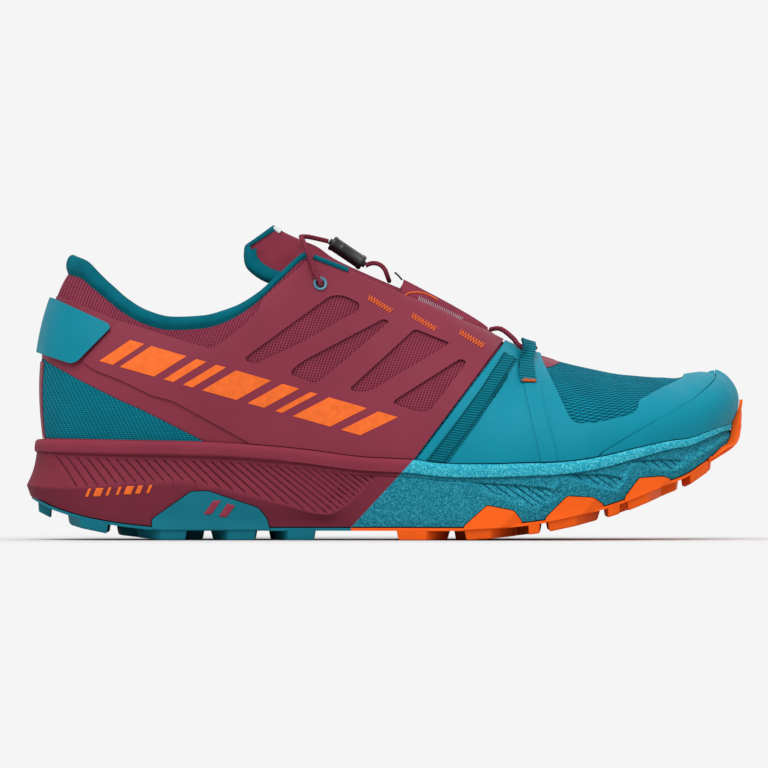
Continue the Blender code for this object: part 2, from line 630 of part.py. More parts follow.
def plan_y_at():
    """Tables of the foot's edge, to read the sole's outline as y from u for each side."""
    tables = {}
    for side in (LATERAL, MEDIAL):
        edge = [foot_edge(row, side) for row in np.linspace(0.4, HEEL_ROW - 0.4, 80)]
        tables[side] = (np.array([u_of(p[0]) for p in edge])[::-1], np.array([p[1] for p in edge])[::-1])
    return tables


def row_at(u):
    """The fractional row whose base lies at a share of the length."""
    rows = np.linspace(0, HEEL_ROW, 400)
    return float(np.interp(-u, [-section(row)["base_u"] for row in rows], rows))


def surface(row, side, angle, lift=0.0):
    """A point over the upper's outer face, by section row and angle in radians."""
    step = 0.02
    here = upper_point(row, side, angle)
    low, high = upper_point(row, side, angle - step), upper_point(row, side, min(angle + step, math.pi / 2))
    fore, aft = upper_point(max(row - step, 0), side, angle), upper_point(min(row + step, HEEL_ROW), side, angle)
    normal = (high - low).cross(aft - fore)
    if normal.y * side < 0 and abs(normal.y) > abs(normal.z) or normal.z < 0 and abs(normal.z) > abs(normal.y):
        normal.negate()
    return here + normal.normalized() * lift, normal.normalized()


def locate(u, height, side):
    """Row and angle of the upper's face at a side-view place."""
    target = Vector((x_at(u), 0, SOLE_LINE + INSTEP_HEIGHT * height))
    row, angle, row_span, angle_span = HEEL_ROW / 2, math.pi / 4, HEEL_ROW / 2, math.pi / 4
    for _ in range(7):
        tries = []
        for r in np.linspace(row - row_span, row + row_span, 13):
            for a in np.linspace(angle - angle_span, angle + angle_span, 13):
                r, a = min(max(r, 0), HEEL_ROW), min(max(a, 0), math.pi / 2)
                miss = upper_point(r, side, a) - target
                tries.append((math.hypot(miss.x, miss.z), r, a))
        _, row, angle = min(tries)
        row_span, angle_span = row_span / 4, angle_span / 4
    return row, angle


def upper_faces(first_angle=0.0):
    """Grids of the upper's outer face for every column of the ring."""
    angles = [first_angle, *np.linspace(0, math.pi / 2, UPPER_STEPS + 1)[1:]]
    return [[upper_point(row, side, angle) for angle in angles] for row, side in ring()]


def film(name, thickness, columns, outline, home, finish, windows=()):
    """An overlay between two larger forms of the upper, trimmed in side view."""
    full = upper_faces(0.02)
    inner, outer = stand_off(full, GAP), stand_off(full, GAP + thickness)
    count = len(full)
    picked = [c % count for c in columns]
    zipped = {k for k, c in enumerate(columns) if abs(c) <= TOE_STATIONS}
    made = shell(name, [inner[c] for c in picked], [outer[c] for c in picked], home, finish, zipped=zipped)
    combine(made, prism(name + "_outline", side_view(outline), home), "INTERSECT")
    for window in windows:
        combine(made, prism(name + "_window", side_view(window), home), "DIFFERENCE")
    return made


def build_upper(home, finish):
    full = [
        [Vector(point) for point in cup_points(row, side, 0.0)]
        + [upper_point(row, side, angle) for angle in np.linspace(0, math.pi / 2, UPPER_STEPS + 1)[1:]]
        for row, side in ring()
    ]
    count = len(full)
    zipped = {c for c in range(count) if c <= TOE_STATIONS or c >= count - TOE_STATIONS}
    return shell("upper", stand_off(full, -WALL), full, home, finish, closed=True, zipped=zipped)


def skin(name, low_lift, high_lift, home):
    """A wall of foam's or rubber's thickness along the midsole's side, from the outsole up to the flange."""
    inner, outer = [], []
    for row, side in ring():
        for lift, grid in ((low_lift, inner), (high_lift, outer)):
            foot = foot_edge(row, side, 0.06 * SOLE_FLARE + lift)
            low = rocker(u_of(foot_edge(row, side)[0])) - GLUE_GAP - OUTSOLE_BASE * 0.6
            wall = side_wall(row, side, lift)[:3]
            grid.append([Vector((foot[0], foot[1], low)), *wall])
    return shell(name, inner, outer, home, closed=True)


def block_outline(block):
    return [(x_at(u), rocker(u) + (sole_line(u) - rocker(u)) * h) for u, h in block]


def cut_block(name, outline, low_lift, high_lift, home):
    made = skin(name, low_lift, high_lift, home)
    return combine(made, prism(name + "_outline", outline, home), "INTERSECT")


def wall_point(u, side, z, lift):
    """A point of the midsole's side wall, or lifted off it."""
    row = row_at(u)
    wall = side_wall(row, side)
    base, normal = base_point(row, side), outward(row, side)
    reach = [(Vector((p.x, p.y)) - Vector(base)).dot(Vector(normal)) for p in wall]
    out = float(np.interp(z, [p.z for p in wall], reach))
    plan = base + normal * (out + lift)
    return Vector((plan[0], plan[1], z))


def rib_cutter(start, side):
    """Rings of a slanted groove's cutter, from the flange down and forward to the crest."""
    lean = curve(RIB_LEAN, start)
    under = sole_line(start) - FLANGE_HEIGHT * curve(FLANGE_SHARE, start) - RIB_DEPTH * 0.45
    steps = 40
    reach = SIDE_HEIGHT * 0.7
    path = [(start, under)]
    for k in range(1, steps):
        drop = reach * k / steps
        u = start + drop * lean / SHOE_LENGTH
        if under - drop < crest_height(u) + RIB_DEPTH * 0.65:
            break
        path.append((u, under - drop))
    if len(path) < 4 or path[-1][0] > RIBS_END:
        return None
    half = RIB_WIDTH / 2 / SHOE_LENGTH * math.hypot(1, lean)
    rings = []
    curved = start < RIBS_CURVED
    for u, z in (path[0], path[len(path) // 2], path[-1]) if curved else (path[0], path[-1]):
        rings.append([
            wall_point(u, side, z, -RIB_DEPTH),
            wall_point(u - half * 1.4, side, z, RIB_DEPTH * 0.4),
            wall_point(u + half * 1.4, side, z, RIB_DEPTH * 0.4),
        ])
    return rings


def cut_ribs(midsole, side, home):
    for first, last in RIB_BANDS:
        for start in np.arange(first, last, RIB_PITCH / SHOE_LENGTH):
            rings = rib_cutter(start, side)
            if rings:
                combine(midsole, lofted("rib", rings, home), "DIFFERENCE")


def build_midsole(home, finish):
    made = solid_of_columns("midsole", midsole_columns(), home, finish)
    for side in (LATERAL, MEDIAL):
        cut_ribs(made, side, home)
    for block in (HEEL_BLOCK, *FOREFOOT_BLOCKS):
        outline = grown(block_outline(block), GAP)
        cutter = cut_block("recess", outline, -BLOCK_DEPTH - GAP, SOLE_FLARE * 0.56, home)
        combine(made, cutter, "DIFFERENCE")
    return made


def sheet_points(row, side, depth):
    """Points of the outsole's base sheet from its edge to the centre line, at a depth under the midsole."""
    points = across(row, foot_edge(row, side), rocker, (0.0, 0.5, 1.0))
    return [point - Vector((0, 0, depth)) for point in points]


def sheet_columns():
    return [
        [*sheet_points(row, side, GLUE_GAP)[::-1], *sheet_points(row, side, GLUE_GAP + OUTSOLE_BASE)]
        for row, side in ring()
    ]


def lug(spec, side, tables):
    """Rings of one lug: its top inside the base sheet and its bottom at the ground line."""
    at = dict(zip(LUG_COLUMNS, spec))
    start, end = at["start"] - min(at["bevel"], 0), at["end"] - max(at["bevel"], 0)
    corners = ((at["start"], at["inner"]), (at["end"], at["inner"]), (end, at["outer"]), (start, at["outer"]))
    middle_u = (at["start"] + at["end"]) / 2
    middle_share = (at["inner"] + at["outer"]) / 2
    rings = []
    for shrink, drop in ((1.0, BOTTOM - LUG_DEPTH - OUTSOLE_BASE * 0.5), (0.86, BOTTOM)):
        points = []
        for u, share in corners:
            u = middle_u + (u - middle_u) * shrink
            share = middle_share + (share - middle_share) * shrink
            u += at["slant"] * (1 - share)
            centre = BALL_WIDTH * section(row_at(u))["base_mid"]
            edge = float(np.interp(u, *tables[side]))
            points.append(Vector((x_at(u), centre + (edge - centre) * share, rocker(u) - drop)))
        rings.append(points)
    return rings


def add_lugs(sheet_part, specs, home):
    tables = plan_y_at()
    bm = bmesh.new()
    for side in (LATERAL, MEDIAL):
        for spec in specs:
            top, low = [[bm.verts.new(point) for point in points] for points in lug(spec, side, tables)]
            for n in range(4):
                bm.faces.new((top[n], top[(n + 1) % 4], low[(n + 1) % 4], low[n]))
            bm.faces.new(top[::-1])
            bm.faces.new(low)
    combine(sheet_part, mesh_object("lugs", bm, home), "UNION")


def bumper_seat(row, side, normal, z):
    """The bumper's inner face at a height: off the side wall, or above the flange off the toe cap."""
    u = u_of(base_point(row, side)[0])
    line = sole_line(u)
    if z < line:
        return wall_point(u, side, z, 2 * GAP)
    at = section(row)
    angle = math.asin(min((z - line) / (INSTEP_HEIGHT * at["height"]), 1) ** (at["round"] / 2))
    seat = upper_point(row, side, angle) + Vector((*normal, 0)) * (GAP * 2 + TOE_CAP)
    return Vector((seat.x, seat.y, z))


def bumper_face(base, normal, seat, z, fade, share):
    """The bumper's outer face, never thinner than its least wall."""
    reach = SOLE_FLARE * 0.18 + BUMPER_REACH * fade * curve(BUMPER_PROFILE, share)
    seat_reach = (Vector((seat.x, seat.y)) - Vector(base)).dot(Vector(normal))
    plan = Vector((seat.x, seat.y)) + Vector(normal) * max(reach - seat_reach, BUMPER_LEAST)
    return Vector((plan.x, plan.y, z))


def bumper(home):
    """The toe bumper: a band round the toe, from the base sheet up over the flange to the toe cap."""
    rows = [*np.linspace(2.4, 0, 7), *np.linspace(0, 2.4, 7)[1:]]
    sides = [MEDIAL] * 6 + [LATERAL] * 7
    inner, outer = [], []
    for row, side in zip(rows, sides):
        base, normal = base_point(row, side), outward(row, side)
        u = u_of(base[0])
        line = sole_line(u)
        edge, middle = sheet_points(row, side, GLUE_GAP + OUTSOLE_BASE * 0.4)[:2]
        inside = edge.lerp(middle, 0.12)
        top = line + INSTEP_HEIGHT * curve(BUMPER_RISE, row)
        fade = curve(BUMPER_FADE, row)
        near, far = [inside], [bumper_face(base, normal, edge, edge.z - OUTSOLE_BASE / 2, fade, 0.0)]
        for share in (0.0, 0.25, 0.5, 0.75, 1.0):
            z = edge.z + (top - edge.z) * share
            start = bumper_seat(row, side, normal, z)
            near.append(start)
            far.append(bumper_face(base, normal, start, z, fade, share))
        inner.append(near)
        outer.append(far)
    return shell("bumper", inner, outer, home)


def build_outsoles(home, heel_finish, forefoot_finish):
    made = []
    cut = GAP / 2 / SHOE_LENGTH
    for name, finish, start, end, specs, blocks in (
        ("outsole_heel", heel_finish, -0.1, SPLIT - cut, HEEL_LUGS, (HEEL_BLOCK,)),
        ("outsole_forefoot", forefoot_finish, SPLIT + cut, 1.1, FOREFOOT_LUGS, FOREFOOT_BLOCKS),
    ):
        part = solid_of_columns(name, sheet_columns(), home, finish)
        outline = [(x_at(start), -0.05), (x_at(end), -0.05), (x_at(end), 0.2), (x_at(start), 0.2)]
        combine(part, prism("half", outline, home), "INTERSECT")
        for block in blocks:
            combine(part, cut_block("block", block_outline(block), -BLOCK_DEPTH, BLOCK_PROUD, home), "UNION")
        if name == "outsole_forefoot":
            combine(part, bumper(home), "UNION")
        add_lugs(part, specs, home)
        made.append(part)
    return made


def insole_seat(u):
    """Height of the insole's underside, which eases off the footbed where that turns up at the toe."""
    return footbed(u) + GAP * 2 + INSOLE * 3.2 * max(0.0, u - 0.86)


def build_insole(home, finish):
    columns = []
    for row, side in ring():
        inset = FEATHER_TUCK + WALL + INSOLE_CLEARANCE
        edge = base_point(row, side) - outward(row, side) * inset
        low = across(row, edge, insole_seat, (1.0, 0.5, 0.0))
        high = across(row, edge, lambda u: insole_seat(u) + INSOLE, (0.0, 1.0))
        columns.append([*low, *high])
    return solid_of_columns("insole", columns, home, finish)


def top_edge(row, side):
    """The middle of the upper's top edge, with the unit normal pointing away from the foot."""
    step = 0.03
    here = upper_point(row, side, math.pi / 2)
    fore = upper_point(row - step, side, math.pi / 2)
    aft = upper_point(min(row + step, HEEL_ROW), side, math.pi / 2)
    along = aft - fore
    normal = Vector((along.y * side, -along.x * side, 0)).normalized()
    if row > HEEL_ROW - 0.05:
        normal = Vector((-1, 0, 0))
    return here - normal * WALL / 2, normal


def build_rim(home, finish):
    rows = [*np.linspace(RIM_FIRST_ROW, HEEL_ROW, 12)]
    route = [(row, LATERAL) for row in rows] + [(row, MEDIAL) for row in rows[-2::-1]]
    rings = []
    for row, side in route:
        middle, normal = top_edge(row, side)
        share = (row - RIM_FIRST_ROW) / (HEEL_ROW - RIM_FIRST_ROW)
        tall = RIM_SIDE_HEIGHT + (RIM_HEEL_HEIGHT - RIM_SIDE_HEIGHT) * max(0, (share - 0.35) / 0.65) ** 1.5
        profile = ((1, 0.1), (1.05, 0.5), (0.75, 0.88), (0, 1), (-0.75, 0.88), (-1.1, 0.5), (-1, 0.1), (0, 0))
        rings.append([
            middle + normal * RIM_HALF_WIDTH * out + Vector((0, 0, GAP * 2 + tall * up)) for out, up in profile
        ])
    return lofted("collar_rim", rings, home, finish)


def tongue_stations():
    """The tongue's outer face by station: middle point, edge point and half width."""
    found = []
    for row, stand, narrow in TONGUE_IN_THROAT:
        at = section(row)
        ridge = upper_point(row, LATERAL, math.pi / 2)
        z = ridge.z + INSTEP_HEIGHT * stand
        half = BALL_WIDTH * (max(at["top_half"] - narrow, TONGUE_NOSE_HALF) if row > THROAT_ROW else TONGUE_NOSE_HALF)
        drop = INSTEP_HEIGHT * max(stand, 0) + TONGUE_EDGE_DROP
        found.append((Vector((ridge.x, 0, z)), Vector((ridge.x, 0, z - drop)), half))
    for u, high, edge_u, low, half in TONGUE_ABOVE:
        middle = Vector((x_at(u), 0, SOLE_LINE + INSTEP_HEIGHT * high))
        edge = Vector((x_at(edge_u), 0, SOLE_LINE + INSTEP_HEIGHT * low))
        found.append((middle, edge, BALL_WIDTH * half))
    return found


def tongue_face(station, across_share):
    """A point of the tongue's outer face at a fractional station."""
    stations = tongue_stations()
    k = min(int(station), len(stations) - 2)
    t = station - k
    points = []
    for middle, edge, half in (stations[k], stations[k + 1]):
        bend = abs(across_share) ** 2.2
        point = middle.lerp(edge, bend)
        points.append(point + Vector((0, half * across_share, 0)))
    return points[0].lerp(points[1], t)


def tongue_grid(stations, shares, lifts):
    """Grids of the tongue's face moved along its normals, one for each lift function."""
    points = np.array([[tongue_face(s, v) for v in shares] for s in stations], float)
    normals = np.cross(np.gradient(points, axis=0), np.gradient(points, axis=1))
    normals /= np.linalg.norm(normals, axis=2, keepdims=True)
    if normals[len(stations) // 2, len(shares) // 2, 2] < 0:
        normals = -normals
    grids = []
    for lift in lifts:
        amount = np.array([[lift(s, v) for v in shares] for s in stations])[..., None]
        grids.append([[Vector(p) for p in column] for column in points + normals * amount])
    return grids


def build_tongue(home, finish):
    last = len(tongue_stations()) - 1
    stations = np.arange(last + 1)
    shares = np.linspace(-1, 1, 7)

    def thick(s, v):
        full = TONGUE_FRONT_THICKNESS + (TONGUE_TOP_THICKNESS - TONGUE_FRONT_THICKNESS) * s / last
        return -full * (1 - 0.45 * abs(v) ** 4)

    outer, inner = tongue_grid(stations, shares, (lambda s, v: 0.0, thick))
    return shell("tongue", inner, outer, home, finish)


def build_pocket(home, finish):
    first, last = POCKET_STATIONS
    stations = np.linspace(first, last, 6)
    shares = np.linspace(-POCKET_SPREAD, POCKET_SPREAD, 7)

    def tall(s, v):
        rise = (s - first) / (last - first)
        crown = 1 - abs(v / POCKET_SPREAD) ** 3
        return GAP + POCKET_FILM + POCKET_REAR * rise * crown

    inner, outer = tongue_grid(stations, shares, (lambda s, v: GAP, tall))
    return shell("lace_pocket", inner, outer, home, finish)


def eyelet_frame(side):
    row, angle = locate(*EYELET_PLACE, side)
    face, normal = surface(row, side, angle, GAP + OVERLAY)
    return face, normal


def eyelet_rings(side, profile, turns=10):
    face, normal = eyelet_frame(side)
    a = normal.orthogonal().normalized()
    b = normal.cross(a)
    return [circle(face + normal * along, a, b, radius, turns) for radius, along in profile]


def build_eyelets(home, finish, pierced):
    for side, word in ((LATERAL, "lateral"), (MEDIAL, "medial")):
        for part in pierced[side]:
            reach = EYELET_BARREL * 2.2
            rings = eyelet_rings(side, ((EYELET_HOLE + GAP, -reach), (EYELET_HOLE + GAP, reach)))
            hole = lofted("hole", rings, home)
            combine(part, hole, "DIFFERENCE")
        barrel = EYELET_HOLE
        profile = (
            (EYELET_BORE, -EYELET_BARREL), (barrel, -EYELET_BARREL), (barrel, GAP), (EYELET_RING, GAP),
            (EYELET_RING, GAP + EYELET_HEIGHT * 0.6), (EYELET_RING * 0.85, GAP + EYELET_HEIGHT),
            (EYELET_BORE, GAP + EYELET_HEIGHT),
        )
        rings = eyelet_rings(side, profile)
        bm = bmesh.new()
        verts = [[bm.verts.new(point) for point in ring_points] for ring_points in rings]
        for here, there in zip(verts, verts[1:] + verts[:1]):
            for n in range(len(here)):
                m = (n + 1) % len(here)
                bm.faces.new((here[n], here[m], there[m], there[n]))
        mesh_object("eyelet_" + word, bm, home, finish)


def build_loops(home, finish):
    """Webbing straps by the throat's front, raised where the lace runs under them."""
    for side, word in ((LATERAL, "lateral"), (MEDIAL, "medial")):
        inner, outer = [], []
        for start, end in (LOOP_FRONT, LOOP_REAR):
            low, high = [], []
            for k in range(8):
                t = k / 7
                row = end[0] + (start[0] - end[0]) * t
                angle = math.radians(end[1] + (start[1] - end[1]) * t)
                lift = GAP * 2 + OVERLAY + (LACE + GAP * 3) * curve(LOOP_RISE, t)
                low.append(surface(row, side, angle, lift)[0])
                high.append(surface(row, side, angle, lift + WEBBING)[0])
            inner.append(low)
            outer.append(high)
        shell("lace_loop_" + word, inner, outer, home, finish)


def lace_route():
    """The front crossing: out from under the pocket, through both loops and over the vamp."""
    route = []
    for side in (LATERAL, MEDIAL):
        leg = [Vector((x_at(u), side * BALL_WIDTH * y, SOLE_LINE + INSTEP_HEIGHT * h)) for u, y, h in STRAND_START]
        leg += [surface(row, side, math.radians(angle), LACE * lift)[0] for row, angle, lift in STRAND_ON_UPPER]
        route.append(leg)
    row, angle, lift = STRAND_MIDDLE
    middle = upper_point(row, LATERAL, math.radians(angle)) + Vector((0, 0, LACE * lift))
    return [*route[0], middle, *route[1][::-1]]


def placed(points, side=1):
    return [Vector((x_at(u), side * BALL_WIDTH * y, SOLE_LINE + INSTEP_HEIGHT * h)) for u, y, h in points]


def build_lacing(home, finish, toggle_finish):
    cord("lace", lace_route(), home, finish)
    for side, word in ((LATERAL, "lateral"), (MEDIAL, "medial")):
        face, normal = eyelet_frame(side)
        start = face + normal * (EYELET_HEIGHT + LACE * 0.6)
        cord("lace_lead_" + word, [start, *placed(LEAD, side)], home, finish)
    cord("lace_tail", [*placed(TAIL), *placed(TAIL, -1)[-2::-1]], home, finish)
    near, far = [Vector((x_at(u), 0, SOLE_LINE + INSTEP_HEIGHT * h)) for u, h in TOGGLE_ENDS]
    along = (far - near).normalized()
    a, b = Vector((0, 1, 0)), along.cross(Vector((0, 1, 0)))
    length = TOGGLE_LENGTH
    profile = (
        (0.74, 0.0), (1.0, 0.06), (1.0, 0.34), (0.84, 0.38), (0.84, 0.46), (1.0, 0.50), (1.0, 0.94), (0.78, 1.0),
    )
    rings = [circle(near + along * length * t, a, b, TOGGLE / 2 * r, 10) for r, t in profile]
    lofted("cord_lock", rings, home, toggle_finish)


def main():
    clear_scene()
    shoe = collection("trail_running_shoe")
    maroon_foam = material("maroon_foam", (0.16, 0.022, 0.037))
    maroon_mesh = material("maroon_mesh", (0.2, 0.03, 0.05), 0.85)
    maroon_film = material("maroon_film", (0.254, 0.034, 0.067), 0.5)
    teal_film = material("teal_film", (0.014, 0.337, 0.462), 0.5)
    teal_padding = material("teal_padding", (0.005, 0.156, 0.205), 0.85)
    teal_rubber = material("teal_rubber", (0.008, 0.181, 0.242), 0.6)
    orange_rubber = material("orange_rubber", (1.0, 0.133, 0.010), 0.6)
    grey_foam = material("grey_foam", (0.05, 0.05, 0.055), 0.9)
    maroon_cord = material("maroon_cord", (0.2, 0.03, 0.05), 0.8)
    black_plastic = material("black_plastic", (0.01, 0.01, 0.011), 0.35)

    build_midsole(shoe, maroon_foam)
    build_outsoles(shoe, teal_rubber, orange_rubber)
    build_insole(shoe, grey_foam)
    upper = build_upper(shoe, maroon_mesh)
    front = TOE_STATIONS + 6
    film("forefoot_overlay", OVERLAY, range(-front, front + 1), FOREFOOT_FILM, shoe, teal_film)
    film("toe_cap", TOE_CAP, range(-TOE_STATIONS + 1, TOE_STATIONS), TOE_FILM, shoe, teal_film)
    quarters = {}
    for side, word in ((LATERAL, "lateral"), (MEDIAL, "medial")):
        first, last = TOE_STATIONS + 1, STATIONS - 3
        columns = range(first, last + 1) if side == LATERAL else range(-last, -first + 1)
        name = "quarter_overlay_" + word
        quarters[side] = film(name, OVERLAY, columns, QUARTER_FILM, shoe, maroon_film, QUARTER_WINDOWS)
    film("heel_tab", HEEL_TAB, range(STATIONS - 5, STATIONS + 6), HEEL_FILM, shoe, teal_film)
    build_rim(shoe, teal_padding)
    build_tongue(shoe, maroon_mesh)
    build_pocket(shoe, maroon_film)
    build_eyelets(shoe, teal_film, {side: (upper, quarters[side]) for side in quarters})
    build_loops(shoe, teal_padding)
    build_lacing(shoe, maroon_cord, black_plastic)


main()
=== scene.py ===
"""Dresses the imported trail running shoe: cloth, film, foam and rubber, floor, lights and camera."""

import json
import math
from contextlib import contextmanager

import bmesh
import bpy
import numpy as np
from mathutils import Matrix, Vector
from mathutils.bvhtree import BVHTree

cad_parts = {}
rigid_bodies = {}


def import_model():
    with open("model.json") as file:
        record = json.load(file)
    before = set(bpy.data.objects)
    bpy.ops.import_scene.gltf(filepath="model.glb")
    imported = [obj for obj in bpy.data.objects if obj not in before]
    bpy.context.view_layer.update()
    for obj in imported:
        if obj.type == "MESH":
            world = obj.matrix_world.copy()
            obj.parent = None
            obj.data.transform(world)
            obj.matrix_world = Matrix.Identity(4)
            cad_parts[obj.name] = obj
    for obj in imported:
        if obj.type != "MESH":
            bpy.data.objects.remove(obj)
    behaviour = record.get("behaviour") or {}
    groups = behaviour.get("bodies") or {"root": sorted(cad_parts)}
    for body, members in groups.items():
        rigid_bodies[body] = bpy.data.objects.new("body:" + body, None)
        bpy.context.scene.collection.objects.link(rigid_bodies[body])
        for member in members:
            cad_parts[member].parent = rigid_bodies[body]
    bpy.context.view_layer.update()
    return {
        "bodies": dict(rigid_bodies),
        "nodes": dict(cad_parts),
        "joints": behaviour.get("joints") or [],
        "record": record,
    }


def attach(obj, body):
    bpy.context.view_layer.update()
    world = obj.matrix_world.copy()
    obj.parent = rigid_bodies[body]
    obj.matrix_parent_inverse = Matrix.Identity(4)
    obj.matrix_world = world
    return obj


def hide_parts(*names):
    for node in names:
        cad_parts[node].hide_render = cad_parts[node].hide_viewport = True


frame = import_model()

# Driving sizes of the sole
SHOE_LENGTH = 0.280
BALL_WIDTH = 0.094  # the upper across the ball, at the sole line
LUG_DEPTH = 0.0036
OUTSOLE_BASE = 0.0011
SIDE_HEIGHT = 0.0342  # midsole's side wall at the heel
FOOTBED_HEIGHT = 0.0216  # midsole under the heel
TOE_SPRING = 0.0376
HEEL_BEVEL = 0.0128
SOLE_FLARE = 0.0071  # how far the heel's crest stands out from the upper
FLANGE_HEIGHT = 0.0055
RIB_DEPTH = 0.0009

# Driving sizes of the upper
INSTEP_HEIGHT = 0.0735  # sole line up to the top eyelet's corner
WALL = 0.0018
FEATHER_TUCK = 0.0025  # how far the upper's lower edge turns in under the foot
OVERLAY = 0.0008
TOE_CAP = 0.0013
HEEL_TAB = 0.0024
RIM_HALF_WIDTH = 0.0026
RIM_HEEL_HEIGHT = 0.0068
RIM_SIDE_HEIGHT = 0.0040
INSOLE = 0.0038
TONGUE_TOP_THICKNESS = 0.0050
TONGUE_FRONT_THICKNESS = 0.0018
EYELET_HOLE = 0.0019
EYELET_RING = 0.0027
EYELET_HEIGHT = 0.0009

# Driving sizes of the lacing
LACE = 0.0018
WEBBING = 0.0010
TOGGLE_LENGTH = 0.0150
TOGGLE = 0.0060
GAP = 0.0003
GLUE_GAP = 0.00045  # between midsole and outsole
BLOCK_DEPTH = 0.0022  # how deep the lug blocks sit in the side wall
BLOCK_PROUD = 0.0008
LIP_DROP = 0.0002  # the midsole's lip below the sole line
INSOLE_CLEARANCE = 0.0012
TONGUE_EDGE_DROP = 0.0012
EYELET_BARREL = 0.0032

BOTTOM = LUG_DEPTH + OUTSOLE_BASE + GLUE_GAP
SOLE_LINE = BOTTOM + SIDE_HEIGHT
SPLIT = 0.4535  # share of the length where the outsole changes from heel to forefoot
LATERAL, MEDIAL = -1, 1
SIDES = ((LATERAL, "lateral"), (MEDIAL, "medial"))
DOUBLES = 1e-6  # points closer than this are one
TURN = 2 * math.pi

# Sections from toe tip to heel tip. base: the upper's outline at the sole line. top: its upper edge, or the
# ridge where half is 0. u: share of the length. mid, half: shares of the ball width. height: share of the
# instep height. round: how square the section is. bulge: how far it swells, as a share of the ball width.
SECTION_COLUMNS = (
    "base_u", "base_mid", "base_half", "top_u", "top_mid", "top_half", "height", "round", "bulge",
)
SECTIONS = (
    (0.980, 0.074, 0.000, 0.955, 0.069, 0.000, 0.252, 2.60, 0.029),
    (0.973, 0.069, 0.133, 0.949, 0.067, 0.000, 0.260, 2.55, 0.028),
    (0.956, 0.061, 0.242, 0.935, 0.064, 0.000, 0.283, 2.40, 0.024),
    (0.927, 0.053, 0.335, 0.911, 0.059, 0.000, 0.310, 2.30, 0.018),
    (0.884, 0.040, 0.412, 0.879, 0.053, 0.000, 0.340, 2.20, 0.017),
    (0.830, 0.024, 0.465, 0.835, 0.043, 0.000, 0.401, 2.10, 0.016),
    (0.770, 0.005, 0.489, 0.785, 0.032, 0.000, 0.483, 2.00, 0.014),
    (0.715, -0.013, 0.481, 0.735, 0.021, 0.000, 0.544, 1.95, 0.012),
    (0.680, -0.025, 0.464, 0.703, 0.016, 0.000, 0.585, 1.90, 0.011),
    (0.663, -0.032, 0.452, 0.690, 0.013, 0.074, 0.602, 1.85, 0.010),
    (0.645, -0.040, 0.439, 0.668, 0.011, 0.112, 0.639, 1.80, 0.009),
    (0.610, -0.051, 0.412, 0.638, 0.005, 0.144, 0.697, 1.70, 0.009),
    (0.560, -0.059, 0.378, 0.595, 0.000, 0.170, 0.756, 1.60, 0.009),
    (0.500, -0.056, 0.348, 0.540, 0.000, 0.189, 0.830, 1.55, 0.009),
    (0.440, -0.048, 0.330, 0.485, -0.005, 0.207, 0.901, 1.50, 0.009),
    (0.385, -0.037, 0.322, 0.432, -0.005, 0.223, 0.967, 1.50, 0.009),
    (0.340, -0.029, 0.322, 0.398, -0.005, 0.239, 1.000, 1.50, 0.010),
    (0.300, -0.024, 0.327, 0.358, -0.005, 0.261, 0.870, 1.50, 0.013),
    (0.260, -0.021, 0.335, 0.325, -0.005, 0.277, 0.742, 1.50, 0.016),
    (0.225, -0.017, 0.345, 0.289, -0.005, 0.287, 0.652, 1.50, 0.018),
    (0.190, -0.012, 0.350, 0.248, -0.003, 0.296, 0.603, 1.50, 0.020),
    (0.155, -0.009, 0.347, 0.205, -0.002, 0.289, 0.592, 1.50, 0.022),
    (0.120, -0.006, 0.334, 0.168, -0.002, 0.273, 0.622, 1.50, 0.025),
    (0.090, -0.005, 0.309, 0.140, -0.001, 0.247, 0.676, 1.52, 0.028),
    (0.065, -0.004, 0.268, 0.118, 0.000, 0.215, 0.740, 1.55, 0.032),
    (0.045, -0.003, 0.205, 0.097, 0.000, 0.178, 0.806, 1.60, 0.031),
    (0.031, -0.002, 0.115, 0.079, 0.000, 0.115, 0.860, 1.60, 0.032),
    (0.026, 0.000, 0.000, 0.0625, 0.000, 0.000, 0.878, 1.60, 0.031),
)
THROAT_ROW, HEEL_ROW = 8, len(SECTIONS) - 1

# Curves along the sole, as (share of the length, share of the named size)
BEVEL_CURVE = (
    (0.0, 1.06), (0.0056, 1.0), (0.042, 0.61), (0.10, 0.258), (0.153, 0.086), (0.2, 0.0), (1.0, 0.0),
)
SPRING_CURVE = (
    (0.0, 0.0), (0.60, 0.0), (0.65, 0.018), (0.69, 0.05), (0.723, 0.083), (0.80, 0.215), (0.833, 0.293),
    (0.897, 0.487), (0.918, 0.548), (0.94, 0.655), (0.96, 0.76), (0.975, 0.86), (0.985, 1.0), (1.0, 1.12),
)
SIDE_CURVE = (
    (0.0, 1.0), (0.03, 1.0), (0.15, 0.985), (0.25, 0.968), (0.30, 0.947), (0.384, 0.886), (0.476, 0.792),
    (0.54, 0.766), (0.577, 0.728), (0.633, 0.705), (0.69, 0.670), (0.705, 0.658), (0.776, 0.582),
    (0.833, 0.547), (0.889, 0.465), (0.946, 0.333), (0.966, 0.275), (0.983, 0.165), (1.0, 0.10),
)
FOOTBED_CURVE = (
    (0.0, 1.0), (0.1, 1.0), (0.25, 0.97), (0.40, 0.84), (0.55, 0.70), (0.65, 0.62), (0.75, 0.58),
    (0.83, 0.56), (0.90, 0.49), (0.946, 0.35), (0.985, 0.07), (1.0, 0.05),
)
